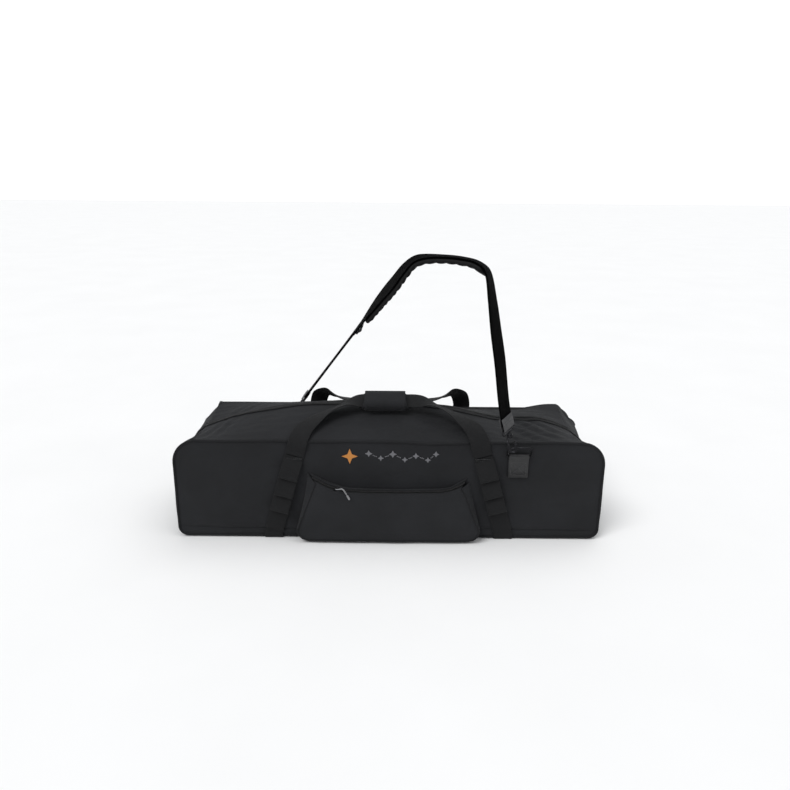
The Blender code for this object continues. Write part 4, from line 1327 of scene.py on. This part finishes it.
def strap_frame(contact, strap_end, across):
    """A matrix at a contact whose Z runs up to the strap's end and whose X is across."""
    up = (strap_end - contact).normalized()
    side = (across - up * across.dot(up)).normalized()
    return Matrix.Translation(contact) @ Matrix((side, up.cross(side), up)).transposed().to_4x4()


def build_strap():
    """Two layers of webbing with a pad, an adjuster and a hook at each end."""
    points, normals = strap_line()
    for layer, (name, lift) in enumerate((("lower", -0.0009), ("upper", 0.0009))):
        offset = []
        for i, (point, normal) in enumerate(zip(points, normals)):
            drift = 0.0006 * ripple((i * 0.05, layer * 3.0, 0), 1.0, 2.0 + layer)
            gap = lift * (1.0 + 0.35 * ripple((i * 0.06, 0, layer), 1.0, 5.0))
            offset.append(point + normal * gap + Vector((drift, 0, 0)))
        made = ribbon("strap_layer_" + name, offset, normals, WEBBING - 0.0012 * layer, WEB_THICK,
                      "strap_webbing", "strap")
        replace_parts(made, "shoulder_strap")
    build_pad(points, normals)
    build_strap_end(-1, "front", points[0], STRAP_FACE)
    build_strap_end(1, "back", points[-1], Vector((0, 1, 0)))
    build_adjuster()


def build_pad(points, normals):
    """The shoulder pad hangs under the strap; its sewn channels pucker its edges."""
    first, last = int(PAD_FROM * FINE), int(PAD_TO * FINE)
    run = points[first:last + 1]
    lengths = [0.0]
    for a, b in zip(run, run[1:]):
        lengths.append(lengths[-1] + (b - a).length)
    total = lengths[-1]
    shape = bmesh.new()
    rings = []
    for i, point in enumerate(run):
        ahead = across_path(run, i)
        normal = normals[first + i]
        across = ahead.cross(normal).normalized()
        out = across.cross(ahead).normalized()
        end = min(lengths[i], total - lengths[i])
        narrow = sqrt(max(0.0, 1 - max(0.0, 1 - end / 0.016) ** 2))
        puff = abs(sin(pi * lengths[i] / PAD_PITCH)) ** 0.6
        half = (0.0245 + 0.0030 * puff) * (0.55 + 0.45 * narrow)
        thick = (0.0034 + 0.0022 * puff) * (0.45 + 0.55 * narrow)
        middle = point - out * (PAD_GAP + thick)
        rings.append([middle + across * wide + out * high
                      for wide, high in oblong(half, thick, 0.55, 0.7, 24)])
    loft(shape, rings)

    def nearest(point):
        best = min(range(len(run)), key=lambda k: (run[k] - point).length_squared)
        ahead = across_path(run, best)
        across = ahead.cross(normals[first + best]).normalized()
        along = lengths[best] + (point - run[best]).dot(ahead)
        depth = (point - run[best]).dot(across.cross(ahead).normalized())
        return along, (point - run[best]).dot(across), depth

    def sewn(point):
        along, over, depth = nearest(point)
        if depth > -0.0045:
            return 0.85
        channel = abs((along / PAD_PITCH) % 1 - 0.5) > 0.42
        border = abs(abs(over) - 0.0215) < 0.0022
        return 0.95 if channel or border else 0.0
    made = padded_form("pad_cushion", shape, "pad_fabric", "strap", 9, 0.006, sewn, voxel=0.0028)
    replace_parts(made, "shoulder_pad")


def build_strap_end(side, name, strap_end, across):
    """The vinyl end of the strap, its swivel eye, and the snap hook with its trigger."""
    contact = HOOKS_ON[side]
    place = strap_frame(contact, strap_end, across)
    hook = strap_frame(contact, strap_end, Vector((1, 0, 0)))
    build_hook(side, name, hook)
    low = HOOK_LENGTH + 0.0003
    eye = [place @ Vector((x, 0, y)) for x, y in
           rounded(WEBBING / 2 + 0.003, low + 0.0016, low + EYE_HEIGHT - 0.0016, 0.004)]
    made = tube("eye_wire_" + name, eye, 0.0017, "black_metal", "strap", cyclic=True, sides=5)
    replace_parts(made, "swivel_eye_" + name)
    bar = low + EYE_HEIGHT - 0.0016
    half = 0.0030
    path = [(half, bar + 0.024), (half + 0.0004, bar + 0.012), (half, bar)]
    path += arc((0, bar), half, -20, -160, 8)
    path += [(-half, bar), (-half - 0.0004, bar + 0.012), (-half, bar + 0.024)]
    points = [place @ Vector((0, y, z)) for y, z in path]
    normals = [place.to_3x3() @ Vector((0, dz, -dy)) for dy, dz in headings(path)]
    made = ribbon("strap_end_" + name, points, normals, WEBBING + 0.001, 0.0017, "vinyl",
                  "strap")
    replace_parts(made, "strap_tab_" + name)
    boxes = []
    for face in (-1, 1):
        for row in (0.010, 0.018):
            for k in range(11):
                spot = Vector(((k - 5) * 0.0031, face * (half + 0.0013), bar + row))
                boxes.append(place @ block(spot, 0.0010, 0.0004, 0.0004))
    join_boxes("end_stitches_" + name, boxes, "seam_thread", "strap", "vinyl", 0.0001)


def build_hook(side, name, place):
    """A cast snap hook: a barrel under the eye, a stem, a round bend and a sliding gate."""
    body = "hook_" + name
    bend = 0.0068
    path = [(-0.0020, HOOK_LENGTH - 0.004), (-0.0045, HOOK_LENGTH - 0.010),
            (-bend, HOOK_LENGTH - 0.018), (-bend, 0.004)]
    path += arc((0, 0), bend, 180, 360, 12)
    path += [(bend, 0.004), (bend, 0.0062)]
    route = smooth_route([Vector((side * -x, 0, y)) for x, y in path], 3)
    points = [place @ point for point in route]
    normals = [place.to_3x3() @ Vector((0, 1, 0))] * len(points)
    widths = [0.0050 - 0.0010 * i / len(points) for i in range(len(points))]
    made = ribbon("hook_wire_" + name, points, normals, 0.005, 0.0044, "black_metal", body,
                  edge=1.5, widths=widths)
    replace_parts(made, "snap_hook_" + name)
    sections = ((HOOK_LENGTH - 0.0105, 0.0040), (HOOK_LENGTH - 0.0085, 0.0056),
                (HOOK_LENGTH - 0.0050, 0.0058), (HOOK_LENGTH - 0.0040, 0.0046),
                (HOOK_LENGTH - 0.0015, 0.0046), (HOOK_LENGTH - 0.0002, 0.0036))
    shape = bmesh.new()
    loft(shape, [[place @ Vector((r * cos(k * pi / 10), 0.72 * r * sin(k * pi / 10), z))
                  for k in range(20)] for z, r in sections])
    add_shape("hook_barrel_" + name, shape, "black_metal", body)
    gate = facing(place @ Vector((side * -bend, 0, 0.0108)),
                  place.to_3x3() @ Vector((1, 0, 0)), place.to_3x3() @ Vector((0, 0, 1)))
    made = plate("trigger_plate_" + name, rounded(0.0019, -0.0044, 0.0044, 0.0012), 0.0036,
                 gate, "black_metal", "trigger_" + name, bevel=0.0005)
    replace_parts(made, "hook_trigger_" + name)
    knob = gate @ block((side * -0.0026, 0, 0), 0.0010, 0.0022, 0.0016)
    join_boxes("trigger_knob_" + name, [knob], "black_metal", "trigger_" + name, bevel=0.0006)


def build_adjuster():
    """A three-bar slider where the strap doubles back."""
    place = strap_frame(LEG_END, LEG_TOP, Vector((0, 1, 0)))
    span, wire = 0.024, 0.0035
    low = (LEG_TOP - LEG_END).length - span
    lie = Matrix(((1, 0, 0, 0), (0, 0, -1, 0), (0, 1, 0, 0), (0, 0, 0, 1)))
    half = WEBBING / 2 + 0.0045
    frame_place = place @ Matrix.Translation((0, 0, low)) @ lie
    outer = rounded(half, 0, span, wire)
    inner = rounded(half - wire, wire, span - wire, 0.0015)
    made = plate("adjuster_frame", outer, 0.0034, frame_place @ Matrix.Translation((0, 0, 0.0044)),
                 "black_metal", "adjuster", hole=inner, bevel=0.0007)
    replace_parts(made, "strap_adjuster")
    bars = (("top", 0.0022, 0.0044), ("low", span - 0.0022, 0.0044), ("middle", span / 2, 0.0060))
    for name, z, y in bars:
        bar = [frame_place @ Vector((x, z, y)) for x in (-half + 0.002, half - 0.002)]
        tube("adjuster_bar_" + name, bar, 0.0016, "black_metal", "adjuster")
    points = [place @ Vector((0, -y, low + span * t)) for t, y in
              ((-0.25, 0.0018), (0.0, 0.0024), (0.2, 0.0058), (0.5, 0.0086), (0.8, 0.0058),
               (1.0, 0.0024), (1.25, 0.0018))]
    points = smooth_route(points, 5)
    normals = [place.to_3x3() @ Vector((0, -1, 0))] * len(points)
    ribbon("adjuster_loop", points, normals, WEBBING, 0.0014, "strap_webbing", "adjuster")


# ---- lining ---------------------------------------------------------------------------
LINING_INSET = 0.0062      # from the shell to the lining's seams


def quilt(u, v, across, up):
    """The dimples of a lining sewn to its foam in squares."""
    a = abs(sin(pi * u * across))
    b = abs(sin(pi * v * up))
    return min(1.0, min(a, b) * 2.2) ** 0.6


def build_lining():
    """The quilted lining over the foam of each wall, seen when the flaps are open."""
    for side, name in SIDES:
        def wall(u, v, side=side):
            z = 0.016 + (SEAM_Z - 0.020) * v
            x = (2 * u - 1) * (panel_edge(z) - 0.012)
            y = SEAM_Y - LINING_INSET - 0.0030 * quilt(u, v, 12, 3)
            return Vector((x, side * y, z))
        padded_sheet(name + "_foam", 0.5, name + "_lining", wall, 168, 40, (0.85, 0.20),
                     "lining", "case", "foam", flip=side < 0)

        def under(u, v, side=side):
            x = -0.380 + 0.762 * u
            point = top_point(x, side * (0.045 + 0.925 * v))
            drop = 0.0058 + 0.0025 * quilt(u, v, 12, 2)
            return point - Vector((0, 0, drop * min(1.0, (1 - v) * 5 + 0.45)))
        padded_sheet("flap_foam_" + name, 0.5, "flap_lining_" + name, under, 168, 24,
                     (0.76, 0.12), "lining", "flap_" + name, "foam", flip=side < 0)

    def floor(u, v):
        x, y = (2 * u - 1) * 0.415, (2 * v - 1) * (SEAM_Y - 0.0085)
        return Vector((x, y, 0.0100 + 0.0034 * quilt(u, v, 12, 3)))
    padded_sheet("base_foam", 0.5, "floor_lining", floor, 168, 45, (0.83, 0.22), "lining",
                 "case", "foam")
    for side, name in HANDS:
        def end(u, v, side=side):
            t = (2 * u - 1) * 0.93
            point = end_point(side, 0.02 + 0.93 * v, t)
            return point - Vector((side * (LINING_INSET + 0.0025 * quilt(u, v, 3, 3)), 0, 0.004))
        padded_sheet("end_foam_" + name, 0.5, "end_lining_" + name, end, 40, 40,
                     (0.22, 0.27), "lining", "case", "foam", flip=side < 0)


# ---- emblem ---------------------------------------------------------------------------
# The small stars: their places from the emblem's middle, and their sizes.
EMBLEM_STARS = ((-0.040, 0.0060, 0.0034), (-0.016, -0.0030, 0.0028), (0.008, 0.0055, 0.0036),
                (0.032, -0.0055, 0.0028), (0.054, 0.0020, 0.0032), (0.078, -0.0060, 0.0028),
                (0.094, 0.0058, 0.0030))
EMBLEM_Z = 0.1800
EMBLEM_BIG_X = -0.078      # the orange star


def star(points, radius, waist):
    outline = []
    for k in range(2 * points):
        reach = radius if k % 2 == 0 else radius * waist
        angle = pi * k / points + pi / 2
        outline.append((reach * cos(angle), reach * sin(angle)))
    return outline


def sewn_on(x, z):
    """A matrix lying on the front panel, facing the front."""
    point = Vector((x, -SEAM_Y - 0.0006 - panel_swell(x, z, -1), z))
    return facing(point, (1, 0, 0), (0, 0, 1))


def build_emblem():
    """A made-up embroidered constellation with one orange star."""
    plate("emblem_star", star(4, 0.0165, 0.38), 0.0014, sewn_on(EMBLEM_BIG_X, EMBLEM_Z),
          "orange_thread", "case", "orange_thread", bevel=0.0004)
    spots = []
    for k, (x, z, radius) in enumerate(EMBLEM_STARS):
        plate("emblem_star_%d" % k, star(4, radius * 2.3, 0.45), 0.0012,
              sewn_on(x, EMBLEM_Z + z), "grey_thread", "case", "grey_thread", bevel=0.0004)
        spots.append((x, EMBLEM_Z + z))
    dashes = []
    for (x1, z1), (x2, z2) in zip(spots, spots[1:]):
        length = sqrt((x2 - x1) ** 2 + (z2 - z1) ** 2)
        turn = Matrix.Rotation(atan2(z2 - z1, x2 - x1), 4, "Z")
        for t in (0.38, 0.5, 0.62):
            place = sewn_on(x1 + (x2 - x1) * t, z1 + (z2 - z1) * t)
            dashes.append(place @ turn @ block((0, 0, 0), length * 0.045, 0.0009, 0.0006))
    join_boxes("emblem_dashes", dashes, "grey_thread", "case", "grey_thread", 0.0002)


# ---- everything -----------------------------------------------------------------------
def make_stage():
    """A plain floor, soft light and a white room."""
    bpy.ops.mesh.primitive_plane_add(size=40, location=(0, 0, FLOOR_Z))
    floor = bpy.context.object
    floor.name = "floor"
    floor.data.materials.append(floor_material())
    bpy.context.scene.view_settings.view_transform = "Standard"
    light_world()
    for name, angle, spread, power in LAMPS:
        data = bpy.data.lights.new(name, "SUN")
        data.energy, data.angle = power, radians(spread)
        lamp = bpy.data.objects.new(name, data)
        bpy.context.collection.objects.link(lamp)
        aim = Vector(angle)
        lamp.location = -aim * 4
        lamp.rotation_euler = aim.to_track_quat("-Z", "Y").to_euler()


# Each lamp: its name, the way it shines, its spread in degrees and its strength.
LAMPS = (("key", (0.55, 0.62, -1.0), 30, 1.5), ("top", (-0.25, -0.15, -1.0), 60, 0.85),
         ("fill", (-0.9, 0.7, -0.5), 60, 0.35))
WORLD_LIGHT = 0.45
WORLD_SEEN = 1.1


def light_world():
    """A soft white room: plain white behind the object, and dimmer as a light on it."""
    world = bpy.data.worlds.new("studio")
    bpy.context.scene.world = world
    world.use_nodes = True
    nodes, links = world.node_tree.nodes, world.node_tree.links
    seen = nodes["Background"]
    seen.inputs["Color"].default_value = (1, 1, 1, 1)
    seen.inputs["Strength"].default_value = WORLD_SEEN
    lit = nodes.new("ShaderNodeBackground")
    lit.inputs["Color"].default_value = (0.96, 0.98, 1, 1)
    lit.inputs["Strength"].default_value = WORLD_LIGHT
    path = nodes.new("ShaderNodeLightPath")
    mix = nodes.new("ShaderNodeMixShader")
    links.new(path.outputs["Is Camera Ray"], mix.inputs[0])
    links.new(lit.outputs[0], mix.inputs[1])
    links.new(seen.outputs[0], mix.inputs[2])
    links.new(mix.outputs[0], nodes["World Output"].inputs["Surface"])


def dress_frame():
    """The frame's own pieces that stay get a finish, by their slot in the record."""
    finishes = {"strap_webbing": "strap_webbing", "foam": "foam", "board": "board"}
    slots = {part["node"]: part["material_slot"] for part in frame["record"]["subparts"]}
    for node, part in frame["nodes"].items():
        look = LOOKS[finishes.get(slots[node], slots[node])]
        part.data.materials.clear()
        part.data.materials.append(look)


make_camera()
make_stage()
dress_frame()
build_panels()
build_ends()
build_flaps()
build_base()
build_piping()
build_bands()
build_handles()
build_ridge_zip()
build_end_zips()
build_end_sliders()
build_pocket()
build_wrap()
build_rings()
build_strap()
build_lining()
build_emblem()
